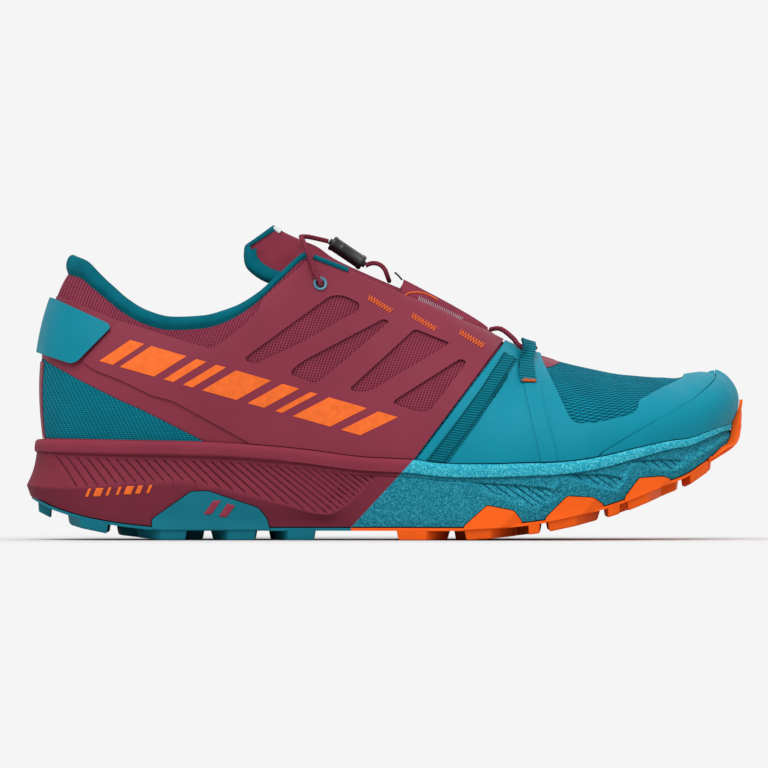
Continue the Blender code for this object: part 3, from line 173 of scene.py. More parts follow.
# Height of the crest below the ribs, as a share of the way up the side wall
CREST_CURVE = (
    (0.0, 0.26), (0.05, 0.37), (0.15, 0.575), (0.2165, 0.635), (0.25, 0.58), (0.30, 0.485), (0.363, 0.33),
    (0.42, 0.20), (0.445, 0.34), (0.4965, 0.88), (0.55, 0.88), (0.60, 0.87), (0.623, 0.84), (0.65, 0.72),
    (0.70, 0.42), (0.715, 0.31), (0.730, 0.55), (0.747, 0.86), (0.775, 0.68), (0.80, 0.44), (0.8185, 0.30),
    (0.832, 0.55), (0.8414, 0.82), (0.868, 0.60), (0.895, 0.36), (0.908, 0.28), (0.921, 0.45), (1.0, 0.50),
)
# How far each line of the side wall stands out, as shares of the sole's flare, along the length
FLANGE_OUT = ((0.0, 0.56), (0.1, 0.48), (0.3, 0.42), (0.7, 0.42), (0.9, 0.36), (0.97, 0.22), (1.0, 0.20))
GROOVE_OUT = ((0.0, 0.46), (0.1, 0.36), (0.3, 0.28), (0.7, 0.28), (0.9, 0.24), (0.97, 0.17), (1.0, 0.16))
CREST_OUT = (
    (0.0, 1.0), (0.1, 0.86), (0.25, 0.72), (0.42, 0.45), (0.50, 0.38), (0.60, 0.42), (0.715, 0.56),
    (0.8, 0.56), (0.92, 0.34), (1.0, 0.10),
)
FOOT_OUT = (
    (0.0, 0.78), (0.1, 0.66), (0.25, 0.50), (0.42, 0.22), (0.55, 0.42), (0.8, 0.44), (0.92, 0.26),
    (1.0, 0.06),
)
FLANGE_SHARE = ((0.0, 0.82), (0.1, 1.0), (0.6, 0.94), (0.8, 0.80), (0.95, 0.45), (1.0, 0.35))

EYELET_BORE = 0.0013
POCKET_STATIONS = (3.9, 6.35)  # along the tongue's stations
POCKET_SPREAD = 0.85
POCKET_FILM = 0.0008
POCKET_REAR = 0.0032
# The lace loop's two long edges, as (section row, angle in degrees) at the throat and down on the vamp
LOOP_FRONT = ((8.05, 86), (7.30, 53))
LOOP_REAR = ((9.35, 86), (7.95, 51))
LOOP_RISE = ((0.0, 0.0), (0.40, 0.0), (0.68, 1.0), (1.0, 1.0))

# Toe bumper, by section row: height above the sole line as a share of the instep height, and how far out
BUMPER_RISE = ((0.0, 0.112), (0.25, 0.050), (0.5, -0.050), (1.0, -0.098), (1.6, -0.112), (2.2, -0.14))
BUMPER_REACH = 0.0039
BUMPER_LEAST = 0.0012
BUMPER_FADE = ((0.0, 1.0), (1.0, 0.86), (1.6, 0.62), (2.4, 0.30))
BUMPER_PROFILE = ((0.0, 0.70), (0.25, 0.94), (0.5, 1.0), (0.75, 0.96), (1.0, 0.62))


# Side-view outlines: (share of the length, share of the instep height above the heel's sole line)
FOREFOOT_FILM = (
    (0.542, -0.123), (0.665, 0.497), (0.682, 0.630), (0.718, 0.577), (0.718, 0.428), (0.757, 0.107),
    (0.767, 0.081), (0.794, 0.085), (0.843, 0.129), (0.851, 0.159), (0.853, 0.204), (0.882, 0.264),
    (0.917, 0.325), (0.925, 0.471), (0.961, 0.471), (0.960, 0.354), (0.962, 0.330), (0.955, 0.296),
    (0.930, 0.214), (0.891, 0.124), (0.842, 0.023), (0.797, -0.080), (0.786, -0.245), (0.549, -0.271),
)
TOE_FILM = (
    (0.965, 0.497), (0.964, 0.356), (0.966, 0.330), (0.959, 0.288), (0.933, 0.205), (0.893, 0.114),
    (0.845, 0.013), (0.801, -0.088), (0.792, -0.271), (1.022, -0.271), (1.022, 0.497),
)
QUARTER_FILM = (
    (0.538, -0.123), (0.661, 0.505), (0.686, 0.603), (0.440, 1.10), (0.330, 0.736), (0.324, 0.677),
    (0.306, 0.603), (0.271, 0.502), (0.259, 0.476), (0.184, 0.561), (0.131, 0.625), (0.080, 0.407),
    (0.099, 0.359), (0.132, 0.312), (0.178, 0.227), (0.206, 0.200), (0.312, -0.021), (0.330, -0.192),
    (0.522, -0.218),
)
QUARTER_WINDOWS = (
    ((0.304, 0.422), (0.426, 0.759), (0.445, 0.757), (0.465, 0.717), (0.465, 0.683), (0.381, 0.502),
     (0.318, 0.391)),
    ((0.366, 0.344), (0.385, 0.407), (0.499, 0.635), (0.507, 0.619), (0.445, 0.415), (0.410, 0.306),
     (0.402, 0.296)),
    ((0.450, 0.259), (0.540, 0.574), (0.545, 0.577), (0.590, 0.508), (0.586, 0.492), (0.480, 0.253),
     (0.465, 0.243)),
    ((0.508, 0.190), (0.605, 0.423), (0.613, 0.410), (0.612, 0.391), (0.563, 0.148), (0.548, 0.140)),
)
HEEL_FILM = (
    (-0.03, 0.789), (0.038, 0.746), (0.116, 0.611), (0.120, 0.587), (0.073, 0.407), (0.064, 0.397),
    (-0.03, 0.513),
)
EYELET_PLACE = (0.410, 0.815)

# Tongue by station: section row it lies at, how far its middle stands over the throat's edge (share of the
# instep height), and how much narrower than the throat it is at each side (share of the ball width)
TONGUE_IN_THROAT = (
    (7.4, -0.066, 0.0), (8.4, -0.052, 0.0), (9.2, -0.036, 0.032), (10.0, -0.008, 0.030), (11.0, 0.022, 0.030),
    (12.0, 0.030, 0.030), (13.0, 0.031, 0.030), (14.0, 0.029, 0.032), (15.0, 0.028, 0.036),
)
TONGUE_NOSE_HALF = 0.060
# Above the throat: middle u and height, edge u and height, half width
TONGUE_ABOVE = (
    (0.4060, 1.010, 0.3860, 0.855, 0.196),
    (0.3850, 1.044, 0.3500, 0.835, 0.206),
    (0.3640, 1.080, 0.3200, 0.890, 0.216),
    (0.3435, 1.122, 0.2990, 1.000, 0.222),
)

# Outsole lugs by row across the sole: from and to along the length, from and to across (shares of the half
# width), how far the lug slants forward, and how much shorter its outer edge is, in front or behind
LUG_COLUMNS = ("start", "end", "inner", "outer", "slant", "bevel")
HEEL_LUGS = (
    (0.018, 0.036, 0.10, 0.50, 0.000, 0.0), (0.060, 0.117, 0.62, 0.98, 0.000, -0.018),
    (0.070, 0.120, 0.06, 0.48, -0.012, 0.0), (0.154, 0.226, 0.64, 0.98, 0.000, -0.036),
    (0.140, 0.190, 0.06, 0.50, -0.014, 0.0), (0.212, 0.256, 0.06, 0.50, -0.014, 0.0),
    (0.258, 0.322, 0.62, 0.98, 0.000, -0.024), (0.282, 0.330, 0.06, 0.50, -0.014, 0.0),
    (0.346, 0.404, 0.62, 0.98, 0.000, -0.020), (0.352, 0.400, 0.06, 0.50, -0.014, 0.0),
)
FOREFOOT_LUGS = (
    (0.517, 0.592, 0.62, 0.98, 0.000, 0.034), (0.520, 0.566, 0.06, 0.50, 0.014, 0.0),
    (0.611, 0.688, 0.62, 0.97, 0.000, 0.040), (0.590, 0.636, 0.06, 0.50, 0.014, 0.0),
    (0.660, 0.706, 0.06, 0.50, 0.014, 0.0), (0.699, 0.715, 0.66, 0.98, 0.000, 0.0),
    (0.726, 0.800, 0.62, 0.97, 0.000, 0.034), (0.730, 0.776, 0.06, 0.50, 0.014, 0.0),
    (0.800, 0.842, 0.06, 0.50, 0.012, 0.0), (0.809, 0.826, 0.66, 0.98, 0.000, 0.0),
    (0.836, 0.886, 0.60, 0.97, 0.000, 0.020), (0.864, 0.900, 0.06, 0.48, 0.010, 0.0),
    (0.914, 0.950, 0.54, 0.97, 0.000, -0.010), (0.922, 0.950, 0.08, 0.42, 0.006, 0.0),
)
# Lug blocks that wrap up the side wall, in side view: share of the length, height as a share of the side wall
HEEL_BLOCK = (
    (0.178, -0.20), (0.178, 0.08), (0.232, 0.41), (0.255, 0.42), (0.325, 0.23), (0.337, 0.10), (0.345, -0.20),
)
FOREFOOT_BLOCKS = (
    ((0.610, -0.20), (0.610, 0.01), (0.642, 0.325), (0.679, 0.205), (0.690, 0.02), (0.693, -0.20)),
    ((0.723, -0.12), (0.723, 0.02), (0.753, 0.345), (0.789, 0.21), (0.803, 0.02), (0.805, -0.10)),
    ((0.833, -0.12), (0.833, 0.03), (0.853, 0.32), (0.885, 0.16), (0.896, 0.03), (0.898, -0.12)),
)
RIB_LEAN = ((0.04, 0.75), (0.20, 1.0), (0.40, 1.54), (0.60, 1.3), (0.90, 1.0))

# Lacing: points over the tongue as (u, across, height) shares, then on the upper as (row, angle, stand-off
# in laces)
STRAND_START = ((0.6475, 0.050, 0.578), (0.6580, 0.074, 0.584), (0.6670, 0.094, 0.570))
STRAND_ON_UPPER = (
    (9.70, 86, 1.78), (9.30, 82, 1.34), (8.80, 80, 1.28), (8.30, 82, 1.28), (7.90, 87, 1.28),
)
STRAND_MIDDLE = (7.70, 90, 1.34)
LEAD = (
    (0.4040, 0.302, 0.872), (0.4000, 0.291, 0.915), (0.3930, 0.280, 0.990), (0.3870, 0.240, 1.045),
    (0.3840, 0.175, 1.066), (0.3850, 0.110, 1.070), (0.3930, 0.055, 1.070), (0.4060, 0.026, 1.060),
    (0.4215, 0.015, 1.046),
)
# From the toggle to the middle of the loop that the lace's tail makes
TAIL = (
    (0.4738, 0.014, 0.9165), (0.4793, 0.0165, 0.9265), (0.4850, 0.020, 0.930), (0.4911, 0.0245, 0.9259),
    (0.4965, 0.0305, 0.9141), (0.5005, 0.036, 0.896), (0.5018, 0.041, 0.885), (0.5034, 0.0385, 0.8681),
    (0.5051, 0.029, 0.8501), (0.5062, 0.014, 0.8387), (0.5065, 0.0, 0.8357),
)
TOGGLE_ENDS = ((0.4260, 1.041), (0.4718, 0.923))

# Where the sole's centre line starts at the heel and how long it is, as shares of the length
AXIS_HEEL, AXIS_LENGTH = 0.09, 0.84

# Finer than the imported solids
UPPER_SPACING = 0.0018
UPPER_STEPS = 40
MIDSOLE_SPACING = 0.00046
OUTSOLE_SPACING = 0.0022

# The photograph's pixels: the shoe is 719 px long from column 25, and the floor line is at row 539.5
PHOTO_LEFT, PHOTO_LENGTH, PHOTO_FLOOR, PHOTO_SIZE = 25, 719, 539.5, 768
PIXEL = SHOE_LENGTH / PHOTO_LENGTH

# Ribs of the rear foam: where they start and end along the length, and how far they stand apart
RIBS_START, RIBS_END, RIBS_APART = 0.045, 0.482, 0.00362
HATCH_SLOPE, HATCH_APART = 0.70, 0.00262  # slanted grooves in the front foam's valleys
SPLIT_LINE = ((351, 527), (413, 459.7))  # where the maroon foam ends, in pixels
FILM_SPLIT = ((413, 459.7), (503.5, 342.8))

# Side-view outlines of what lies on the upper, in pixels
HEEL_BAND = (
    (20, 283), (58, 296.5), (70, 300), (111.8, 318), (132, 326), (165, 345), (190, 385), (262, 430),
    (262, 470), (216, 470), (212, 444), (142, 408.8), (121, 399.8), (81, 380), (53, 364.6), (20, 345),
)
HEEL_PANEL = (
    (20, 346), (53, 365.2), (81, 380.6), (121, 400.6), (142, 409.6), (212, 445), (212, 470), (20, 470),
)
HEEL_STRIP = ((15, 358), (60, 364), (60, 462), (15, 462))
# The padded edge's last stretch, on the quarter
COLLAR_END = ((313.5, 257.2), (330.0, 263.6), (348.0, 270.6))
TONGUE_BASE = ((536, 350), (541, 352.5), (552, 358), (560, 362.4), (551, 366.5), (543, 368), (539, 362))
LADDER = (
    (504, 351.5), (517.3, 358.5), (478, 420), (446.6, 462.5), (424, 462.5), (457, 420), (480, 389),
)
LADDER_EDGES = (
    (((517.3, 359), (479, 420), (448, 461)), 0.00042), (((514.4, 359), (476, 419), (444, 461)), 0.00022),
    (((504.5, 353), (481, 389), (458.5, 420), (429, 459)), 0.00022),
)
RIDGE = ((524, 383), (540, 383), (543, 405), (552, 440), (558, 466), (541.5, 466), (536, 440), (528, 405))
BAR_TACKS = (
    ((368.5, 297.5), (391.5, 311.5), 6.2), ((412, 315.5), (435.5, 329.5), 6.2),
    ((459.5, 332), (483, 346.3), 6.2),
)
LOOP_TACK = ((523.6, 380.4), (538.8, 381.6), 4.4)
# Slanted dashes on the quarter: where each starts and ends along the row, as shares
DASH_ROW = ((131, 340), (412, 421), (100, 361), (374, 439))
DASHES = (
    (0.00, 0.05), (0.075, 0.20), (0.235, 0.27), (0.305, 0.34), (0.375, 0.50), (0.54, 0.60), (0.64, 0.665),
    (0.705, 0.84), (0.88, 0.95),
)
MIDSOLE_TICKS = ((89, 492.4), (150, 488.6), 8.5, (3.0, 7.5, 3.0, 3.0, 7.5, 5.0, 3.0))
BLOCK_BARS = (
    ((214, 500), (222, 500), (212, 514), (204, 514)), ((228, 503), (236, 505), (227, 517), (219, 516)),
)
POCKET_ARC = ((404.5, 295.7), (409.5, 293.0), (417.3, 292.3), (424.5, 293.8), (431.3, 296.4), (437.0, 300.0))
POCKET_RIBS = ((419.0, 298.6), (462.0, 319.5), 25, 4.6)
PULL_TAB = ((394.7, 272.2), (398.0, 275.0), (402.2, 279.8))
TOE_SEAM = 0.0009  # how far the toe cap grows towards the film behind it
CREASE = 0.0004  # how far the foam is drawn in under the flange
LOOP_LONGER = 5  # degrees that the webbing reaches further down than its solid
RIM_START = 16.12  # section row where the padded rim starts, thinner there
LUG_FLUSH = 0.03  # share of the half width by which side lugs come out to the blocks' faces
LUG_ROWS = np.linspace(0, HEEL_ROW, 400)
BLOCK_CREASES = (
    ((515.2, 512.1), (489.5, 536.6)), ((592.9, 499.4), (571.9, 524.8)), ((665.0, 477.5), (647.0, 500.0)),
)
# Share of the bumper's height, depth, and half width as a share
BUMPER_NOTCHES = ((0.456, 0.0009, 0.06), (0.20, 0.0006, 0.05))
# Side-view outlines of the valleys pressed into the front of the foam, in pixels, and their depth
VALLEYS = (
    ((466, 481.5), (520, 484), (556, 488.5), (563, 491.5), (536, 508), (500, 496)),
    ((556, 473), (600, 473.5), (626, 477.5), (612, 489.5), (585, 482)),
    ((625, 461), (660, 458.8), (684, 459.2), (673, 470.5), (650, 467)),
)
VALLEY_DEPTH = 0.0007
VALLEY_SLOPE = 0.0007  # how wide the slope at a valley's edge is
BLOCK_CORNER = 0.0009  # radius of the lugs' and the lug blocks' corners
QUARTER_ROWS = (9.06, 23.84)  # section rows that the quarter's film covers
MARK_LIFT = 0.00016  # how far thread and print stand out
THREAD = 0.00017  # radius of the bar-tacks' thread
FILM_CORNER = 0.0018  # radius of the films' corners
WINDOW_CORNER = 0.0030
RIB_FADE = 0.0012  # how far along the sole the first and the last rib fade
BINDING_SIDE, BINDING_TOP = 0.0044, 0.0022  # width of the tongue's binding
TONGUE_PUFF = 0.0007
THREAD_SPACING = 0.0005  # how closely a zigzag follows a surface
LABEL_LOW, LABEL_HIGH = 0.0006, 0.0011  # the label's two faces over the tongue
PULL_HALF_WIDTH, PULL_HALF_THICKNESS = 0.0030, 0.00035
TAPE, RIDGE_HEIGHT = 0.0005, 0.0006  # how far the ladder tape and the webbing's ridge stand out
COLLAR_END_RADIUS, PIPING_RADIUS, POCKET_RIB_RADIUS = 0.00105, 0.00030, 0.00014
# Section rows that the narrower films lie within
BASE_ROWS, LADDER_ROWS, RIDGE_ROWS = (4.0, 12.0), (7.0, 14.3), (4.0, 14.3)
# First or last section row that a film reaches, from the toe or from the heel
FOREFOOT_ROW, TOE_CAP_ROW, HEEL_TAB_ROW, BAND_ROW, PANEL_ROW, STRIP_ROW = 14.3, 7.1, 21.7, 15.6, 17.2, 26.25


def curve(pairs, at, flat_ends=False):
    """Values at keys on a smooth curve through (key, value) pairs, which never overshoots them."""
    keys, values = np.array(pairs, float).T
    at = np.clip(at, keys[0], keys[-1])
    steps = np.diff(keys)
    rises = np.diff(values) / steps
    slopes = np.zeros(len(keys))
    if not flat_ends:
        slopes[0], slopes[-1] = rises[0], rises[-1]
    same = np.nonzero(rises[:-1] * rises[1:] > 0)[0]
    slopes[same + 1] = 2 / (1 / rises[same] + 1 / rises[same + 1])
    k = np.clip(np.searchsorted(keys, at, side="right") - 1, 0, len(steps) - 1)
    t = (at - keys[k]) / steps[k]
    start = (1 + 2 * t) * (1 - t) ** 2 * values[k] + t * (1 - t) ** 2 * steps[k] * slopes[k]
    end = t * t * (3 - 2 * t) * values[k + 1] + t * t * (t - 1) * steps[k] * slopes[k + 1]
    return start + end


def section(rows):
    """The sections at fractional rows of SECTIONS, by column name."""
    found = {}
    for column, name in enumerate(SECTION_COLUMNS):
        pairs = [(index, values[column]) for index, values in enumerate(SECTIONS)]
        found[name] = curve(pairs, rows, flat_ends=not name.endswith("half"))
    return found


def x_at(u):
    return (u - 0.5) * SHOE_LENGTH


def u_of(x):
    return x / SHOE_LENGTH + 0.5


def spring(u):
    return TOE_SPRING * curve(SPRING_CURVE, u)


def rocker(u):
    """Height of the midsole's underside."""
    return BOTTOM + HEEL_BEVEL * curve(BEVEL_CURVE, u) + spring(u)


def sole_line(u):
    """Height of the midsole's upper edge, where the upper comes out of it."""
    return BOTTOM + SIDE_HEIGHT * curve(SIDE_CURVE, u) + spring(u)


def footbed(u):
    return BOTTOM + FOOTBED_HEIGHT * curve(FOOTBED_CURVE, u) + spring(u)


def crest_height(u):
    low, high = rocker(u), sole_line(u) - FLANGE_HEIGHT * curve(FLANGE_SHARE, u)
    return low + (high - low) * curve(CREST_CURVE, u)


def base_point(rows, sides):
    """The upper's outline at the sole line, as (x, y) for each row."""
    at = section(rows)
    return np.stack([x_at(at["base_u"]), BALL_WIDTH * (at["base_mid"] + sides * at["base_half"])], -1)


def unit(vectors):
    return vectors / np.linalg.norm(vectors, axis=-1, keepdims=True)


def walked(points):
    """How far along a path each of its points lies."""
    return np.concatenate([[0], np.cumsum(np.linalg.norm(np.diff(points, axis=0), axis=1))])


def outward(rows, sides):
    """Unit normals of that outline in plan, pointing away from the foot."""
    step = 0.02
    rows, sides = np.asarray(rows, float), np.asarray(sides, float)
    along = base_point(rows + step, sides) - base_point(rows - step, sides)
    normal = np.stack([along[..., 1] * sides, -along[..., 0] * sides], -1)
    normal[rows < step] = (1.0, 0.0)
    normal[rows > HEEL_ROW - step] = (-1.0, 0.0)
    return unit(normal)


def ring(spacing):
    """Rows and sides of each column round the shoe, and how many columns from the toe to the throat.

    The columns are about a spacing apart along the outline, with one at the throat's front."""
    dense = np.linspace(0.0, HEEL_ROW, 3000)
    walk = walked(base_point(dense, -np.ones(len(dense))))
    cut = np.interp(THROAT_ROW, dense, walk)
    toe, rear = max(int(cut / spacing), 2), int((walk[-1] - cut) / spacing)
    stops = [*np.linspace(0, cut, toe + 1), *np.linspace(cut, walk[-1], rear + 1)[1:]]
    rows = np.interp(stops, walk, dense)
    both = np.concatenate([rows, rows[-2:0:-1]])
    sides = np.concatenate([np.full(len(rows), LATERAL), np.full(len(rows) - 2, MEDIAL)])
    return both, sides, toe


def upper_points(rows, sides, angles):
    """Points of the upper's outer face for rows by angles: 0 at the sole line, a quarter turn at the top."""
    at = section(rows)
    base, normal = base_point(rows, sides), outward(rows, sides)
    top = np.stack([x_at(at["top_u"]), BALL_WIDTH * (at["top_mid"] + sides * at["top_half"])], -1)
    power = (2 / at["round"])[:, None]
    angles = np.broadcast_to(np.asarray(angles, float), (len(rows), np.shape(angles)[-1]))
    inset = 1 - np.maximum(np.cos(angles), 0) ** power
    rise = np.sin(angles) ** power
    swell = BALL_WIDTH * at["bulge"][:, None] * np.sin(math.pi * rise)
    plan = base[:, None] + (top - base)[:, None] * inset[..., None] + normal[:, None] * swell[..., None]
    height = sole_line(u_of(base[:, 0]))[:, None] + INSTEP_HEIGHT * at["height"][:, None] * rise
    return np.concatenate([plan, height[..., None]], -1)


def cup_points(rows, sides, out):
    """The three rows of points inside the midsole's cup, from the upper's lower edge to the sole line."""
    base, normal = base_point(rows, sides), outward(rows, sides)
    low, high = footbed(u_of(base[:, 0])) + GAP, sole_line(u_of(base[:, 0]))
    found = []
    for rise, tuck in ((0.0, 1.0), (0.35, 0.3), (1.0, 0.0)):
        plan = base + normal * (out - FEATHER_TUCK * tuck)
        found.append(np.column_stack([plan, low + (high - low) * rise]))
    return np.stack(found, 1)


def normals_of(points, toe):
    """Outward normals of a closed ring of columns. The two sides of the ridge share theirs."""
    count = len(points)
    along = np.roll(points, -1, 0) - np.roll(points, 1, 0)
    normals = np.cross(np.gradient(points, axis=1), along)
    normals /= np.maximum(np.linalg.norm(normals, axis=2, keepdims=True), 1e-12)
    ridge = unit(normals[1 : toe + 1, -1] + normals[: count - toe - 1 : -1, -1])
    normals[1 : toe + 1, -1] = ridge
    normals[: count - toe - 1 : -1, -1] = ridge
    return normals


def climb(points):
    """Millimetres along the shoe and up the surface, for weaves and grain."""
    rise = np.linalg.norm(np.diff(points, axis=1), axis=2)
    up = np.concatenate([np.zeros((len(points), 1)), np.cumsum(rise, axis=1)], axis=1)
    return np.stack([points[..., 0] * 1000, up * 1000], axis=2)


def added(name, data):
    """A new object in the scene."""
    made = bpy.data.objects.new(name, data)
    bpy.context.scene.collection.objects.link(made)
    return made


def new_mesh(name, points, faces, finish, coordinates=None):
    """A new mesh object from points and faces, with optional texture coordinates for each point."""
    mesh = bpy.data.meshes.new(name)
    mesh.from_pydata(np.asarray(points, float).reshape(-1, 3).tolist(), [], faces)
    if finish:
        mesh.materials.append(finish)
    if coordinates is not None:
        layer = mesh.uv_layers.new(name="UVMap")
        index = np.zeros(len(mesh.loops), dtype=np.int32)
        mesh.loops.foreach_get("vertex_index", index)
        layer.data.foreach_set("uv", np.asarray(coordinates, float).reshape(-1, 2)[index].ravel())
    mesh.polygons.foreach_set("use_smooth", [True] * len(mesh.polygons))
    return added(name, mesh)


@contextmanager
def edited(made):
    """An object's mesh, open for edits."""
    bm = bmesh.new()
    bm.from_mesh(made.data)
    yield bm
    bm.to_mesh(made.data)
    bm.free()


def tidy(made):
    """Joins doubled points and turns the faces outward."""
    with edited(made) as bm:
        bmesh.ops.remove_doubles(bm, verts=bm.verts, dist=DOUBLES)
        bmesh.ops.recalc_face_normals(bm, faces=bm.faces)
    return made


def triangulate(made):
    with edited(made) as bm:
        bmesh.ops.triangulate(bm, faces=bm.faces)
        bmesh.ops.recalc_face_normals(bm, faces=bm.faces)
    return made


def sharpen(made, degrees=38):
    made.data.polygons.foreach_set("use_smooth", [True] * len(made.data.polygons))
    made.data.set_sharp_from_angle(angle=math.radians(degrees))
    return made


def tube_mesh(
    name, loops, finish, closed_along=False, closed_round=True, capped=True, coordinates=None, zipped=()
):
    """A mesh through loops of points, (loops, points, 3). Zipped loops are open at their middle."""
    count, width = loops.shape[:2]
    faces = []
    for c in range(count if closed_along else count - 1):
        n = (c + 1) % count
        for r in range(width if closed_round else width - 1):
            m = (r + 1) % width
            if c in zipped and n in zipped and r == width // 2 - 1:
                continue
            faces.append((c * width + r, n * width + r, n * width + m, c * width + m))
    if capped and not closed_along:
        faces.append(tuple(range(width))[::-1])
        faces.append(tuple((count - 1) * width + r for r in range(width)))
    return new_mesh(name, loops, faces, finish, coordinates)


def shell(name, inner, outer, finish, closed=False, zipped=()):
    """A closed solid between two matching arrays of columns. Zipped columns meet those of the other side."""
    loops = np.concatenate([inner, outer[:, ::-1]], axis=1)
    flat = np.concatenate([climb(inner), climb(outer)[:, ::-1]], axis=1)
    return tidy(tube_mesh(name, loops, finish, closed_along=closed, coordinates=flat, zipped=zipped))


def sole_solid(name, loops, finish, coordinates=None):
    """A solid round the whole sole, closed along its centre line."""
    made = tidy(tube_mesh(name, loops, finish, True, False, False, coordinates))
    with edited(made) as bm:
        bmesh.ops.holes_fill(bm, edges=[edge for edge in bm.edges if edge.is_boundary], sides=0)
        bmesh.ops.recalc_face_normals(bm, faces=bm.faces)
    return made


def pixels(points):
    """Places of the photograph as side-view (x, z)."""
    return [((px - PHOTO_LEFT) * PIXEL - SHOE_LENGTH / 2, (PHOTO_FLOOR - py) * PIXEL) for px, py in points]


def join(name, parts):
    """Several mesh objects as one."""
    bm = bmesh.new()
    finish = parts[0].data.materials[0]
    for part in parts:
        bm.from_mesh(part.data)
        bpy.data.objects.remove(part)
    mesh = bpy.data.meshes.new(name)
    bm.to_mesh(mesh)
    bm.free()
    mesh.materials.append(finish)
    return added(name, mesh)


def rounded(outline, radius=FILM_CORNER, steps=4):
    """A side-view outline with its corners rounded."""
    points = [Vector(p) for p in outline]
    found = []
    for before, here, after in zip(points[-1:] + points[:-1], points, points[1:] + points[:1]):
        a, b = before - here, after - here
        reach = min(radius, a.length * 0.45, b.length * 0.45)
        start, end = here + a.normalized() * reach, here + b.normalized() * reach
        for k in range(steps + 1):
            t = k / steps
            found.append(start * (1 - t) ** 2 + here * 2 * t * (1 - t) + end * t * t)
    return found


def prisms(outlines, low=-0.1, high=0.1):
    """One mesh of blocks across the shoe, each with a side-view outline."""
    points, faces = [], []
    for outline in outlines:
        start, count = len(points), len(outline)
        points += [(p[0], low, p[1]) for p in outline] + [(p[0], high, p[1]) for p in outline]
        faces += [tuple(range(start, start + count))[::-1], tuple(range(start + count, start + 2 * count))]
        for k in range(count):
            n = (k + 1) % count
            faces.append((start + k, start + n, start + count + n, start + count + k))
    return tidy(new_mesh("cutter", points, faces, None))


def combine(made, other, operation):
    """Boolean of two meshes, applied. The other object is removed."""
    cut = made.modifiers.new("cut", "BOOLEAN")
    cut.operation = operation
    cut.solver = "EXACT"
    cut.object = other
    bpy.context.view_layer.update()
    graph = bpy.context.evaluated_depsgraph_get()
    mesh = bpy.data.meshes.new_from_object(made.evaluated_get(graph))
    made.modifiers.clear()
    made.data = mesh
    bpy.data.objects.remove(other)
    return made


def side_view(points):
    """(share of the length, share of the instep height above the heel's sole line) as (x, z)."""
    return [(x_at(u), SOLE_LINE + INSTEP_HEIGHT * h) for u, h in points]


def smooth(points, steps):
    """Points on a smooth curve through the given ones."""
    points = np.asarray(points, float)
    ends = np.concatenate([[2 * points[0] - points[1]], points, [2 * points[-1] - points[-2]]])
    found = []
    for a, b, c, d in zip(ends, ends[1:], ends[2:], ends[3:]):
        square, cube = 2 * a - 5 * b + 4 * c - d, 3 * b - a - 3 * c + d
        for t in np.arange(steps) / steps:
            found.append(0.5 * (2 * b + (c - a) * t + square * t * t + cube * t ** 3))
    return np.array([*found, points[-1]])


def frames_along(points):
    """For each point of a path, two unit vectors square to it, without twist."""
    along = unit(np.gradient(points, axis=0))
    first = np.array(Vector(along[0]).orthogonal().normalized())
    firsts = []
    for direction in along:
        first = first - direction * first.dot(direction)
        first = first / np.linalg.norm(first)
        firsts.append(first)
    firsts = np.array(firsts)
    return firsts, np.cross(along, firsts)


def flat_map(path, across_it):
    """Millimetres along a path, and the given ones across it, as texture coordinates."""
    return np.stack(np.broadcast_arrays((walked(path) * 1000)[:, None], across_it[None, :]), -1)


def round_tube(name, points, radius, finish, sides=12):
    """A round tube along a path."""
    points = np.asarray(points, float)
    a, b = frames_along(points)
    turns = np.linspace(0, TURN, sides, endpoint=False)
    loops = points[:, None] + radius * (
        a[:, None] * np.cos(turns)[None, :, None] + b[:, None] * np.sin(turns)[None, :, None]
    )
    return tube_mesh(name, loops, finish, coordinates=flat_map(points, turns * radius * 1000))


def placed(points, side=1):
    """Points given as shares of the length, the ball width and the instep height."""
    points = np.array(points, float)
    return np.column_stack([
        x_at(points[:, 0]), side * BALL_WIDTH * points[:, 1], SOLE_LINE + INSTEP_HEIGHT * points[:, 2]
    ])


class Face:
    """A surface that stitches and patches are laid on, read from either side of the shoe."""

    def __init__(self, made):
        made.data.calc_loop_triangles()
        corners = [tuple(t.vertices) for t in made.data.loop_triangles]
        self.tree = BVHTree.FromPolygons([v.co for v in made.data.vertices], corners)

    def hit(self, x, z, side):
        start = Vector((x, side * 0.2, z))
        place, normal, _, _ = self.tree.ray_cast(start, Vector((0, -side, 0)))
        if place is None:
            place, normal, _, _ = self.tree.find_nearest(Vector((x, side * 0.04, z)))
        if normal.y * side < 0:
            normal = -normal
        return place, normal

    def lay(self, points, side, lift):
        """Side-view points laid on the surface, lifted off it."""
        found = []
        for x, z in points:
            place, normal = self.hit(x, z, side)
            found.append(np.array(place + normal * lift))
        return np.array(found)


def spaced(points, spacing):
    """Points along a polyline, evenly spaced."""
    points = np.asarray(points, float)
    walk = walked(points)
    stops = np.linspace(0, walk[-1], max(int(round(walk[-1] / spacing)), 1) + 1)
    return np.stack([np.interp(stops, walk, points[:, k]) for k in range(points.shape[1])], -1)


